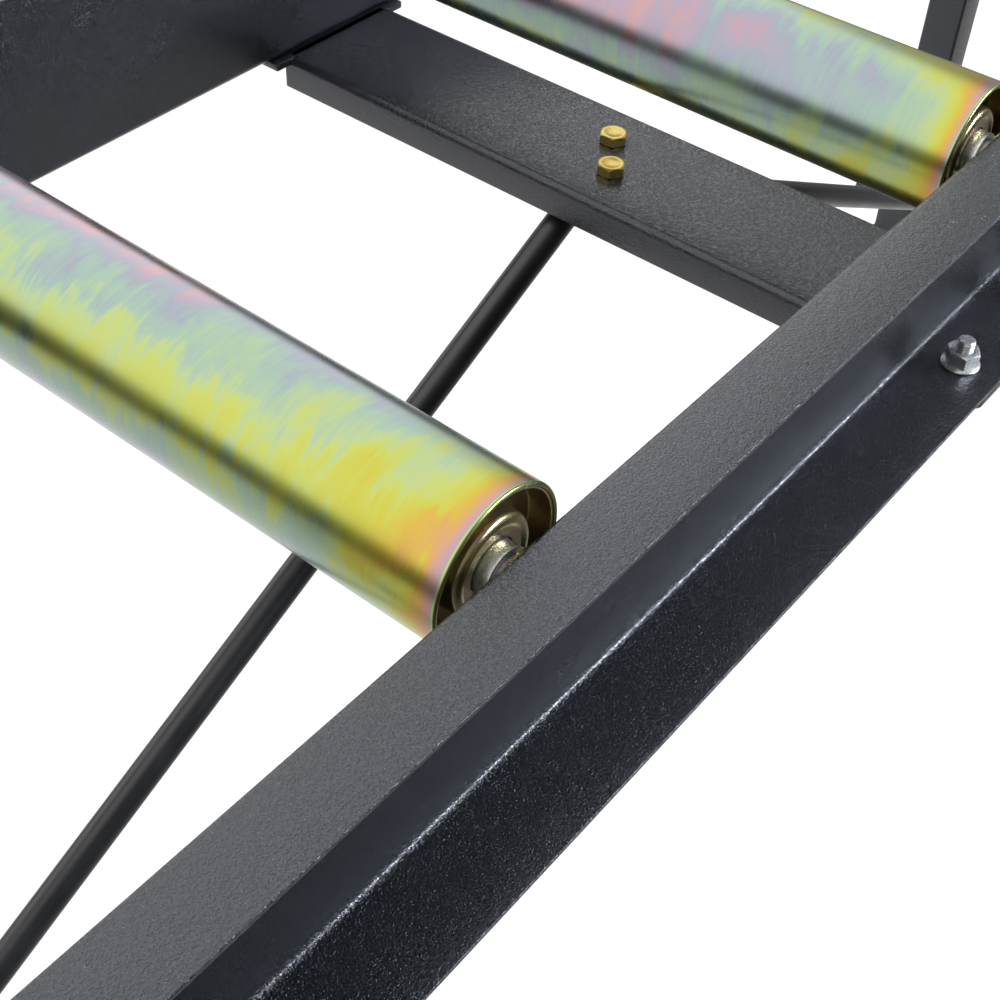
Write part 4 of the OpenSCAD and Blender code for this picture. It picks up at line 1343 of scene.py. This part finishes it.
def camera():
    data = bpy.data.cameras.new("camera")
    data.sensor_width = CAMERA_SENSOR
    data.lens = CAMERA_LENS
    data.clip_start = CAMERA_CLIP
    obj = bpy.data.objects.new("camera", data)
    heading = Matrix.Rotation(math.radians(CAMERA_AZIMUTH), 4, "Z")
    tilt = Matrix.Rotation(math.radians(90 - CAMERA_ELEVATION), 4, "X")
    roll = Matrix.Rotation(math.radians(CAMERA_ROLL), 4, "Z")
    obj.matrix_world = Matrix.Translation(CAMERA_PLACE) @ heading @ tilt @ roll
    bpy.context.scene.collection.objects.link(obj)
    bpy.context.scene.camera = obj


def floor():
    """A plain near-white floor under the lowest foot. It lights nothing: the world below the horizon does."""
    corners = [Vector((x * FLOOR_REACH, y * FLOOR_REACH, 0)) for x, y in ((-1, -1), (1, -1), (1, 1), (-1, 1))]
    obj = mesh_object("floor", Shell(corners, [(0, 1, 2, 3)]))
    material = bpy.data.materials.new("floor")
    material.use_nodes = True
    shader = material.node_tree.nodes["Principled BSDF"]
    shader.inputs["Base Color"].default_value = (FLOOR_GREY, FLOOR_GREY, FLOOR_GREY, 1)
    shader.inputs["Roughness"].default_value = 1
    shader.inputs["Emission Color"].default_value = (1, 1, 1, 1)
    shader.inputs["Emission Strength"].default_value = FLOOR_EMISSION
    obj.data.materials.append(material)
    obj.visible_glossy = False
    obj.visible_diffuse = False
    for corner in CORNERS:
        below = obj.constraints.new("FLOOR")
        below.target = frame["bodies"][f"foot_{corner}"]
        below.floor_location = "FLOOR_NEGATIVE_Z"


def world():
    """Studio walls and floor as the object sees them, and a plain pale backdrop for the camera."""
    data = bpy.data.worlds.new("studio")
    bpy.context.scene.world = data
    nodes = Nodes(data)
    tree = nodes.tree
    tree.nodes.clear()
    place = tree.nodes.new("ShaderNodeTexCoord").outputs["Generated"]
    across, along, up = nodes.node("ShaderNodeSeparateXYZ", {"Vector": place}).outputs
    right = nodes.spread(across, *LEFT_TO_RIGHT, 0, 1)
    back = nodes.spread(along, *FRONT_TO_BACK, 0, 1)
    lift = nodes.plus(up, nodes.times(back, BACK_LIFT))
    corner = nodes.spread(nodes.plus(along, across), *BACK_CORNER, 1, BACK_CORNER_SHARE)
    wall = nodes.times(nodes.spread(lift, *HORIZON, WALL_FOOT, 1),
                      nodes.blend(right, SKY_LEFT, SKY_RIGHT))
    ground = nodes.blend(right, nodes.spread(up, *FLOOR_LEFT_FADE, FLOOR_GLOW, FLOOR_EDGE),
                         nodes.spread(up, *FLOOR_RIGHT_FADE, FLOOR_RIGHT, FLOOR_EDGE))
    strength = nodes.math("MAXIMUM", nodes.times(wall, corner), ground)
    lit = nodes.node("ShaderNodeBackground", {"Color": (1, 1, 1), "Strength": strength})
    pale = nodes.node("ShaderNodeBackground", {"Color": (1, 1, 1), "Strength": BACKDROP})
    seen = tree.nodes.new("ShaderNodeLightPath").outputs["Is Camera Ray"]
    choice = nodes.node("ShaderNodeMixShader", {"Fac": seen})
    tree.links.new(lit.outputs[0], choice.inputs[1])
    tree.links.new(pale.outputs[0], choice.inputs[2])
    tree.links.new(choice.outputs[0], tree.nodes.new("ShaderNodeOutputWorld").inputs["Surface"])


def lamp():
    data = bpy.data.lights.new("strip", "AREA")
    data.shape = "RECTANGLE"
    data.size, data.size_y = LAMP_SIZE
    data.energy = LAMP_WATTS
    data.color = LAMP_COLOUR
    obj = bpy.data.objects.new("strip", data)
    obj.location = LAMP_PLACE
    obj.rotation_euler = (LAMP_TARGET - LAMP_PLACE).to_track_quat("-Z", "Y").to_euler()
    obj.visible_camera = False
    bpy.context.scene.collection.objects.link(obj)


def studio():
    camera()
    floor()
    world()
    lamp()
    bpy.context.scene.view_settings.view_transform = "Standard"


finishes()
rails()
frames()
rollers()
frame_fasteners()
stays()
legs()
knobs()
feet()
dress_bearings()
studio()
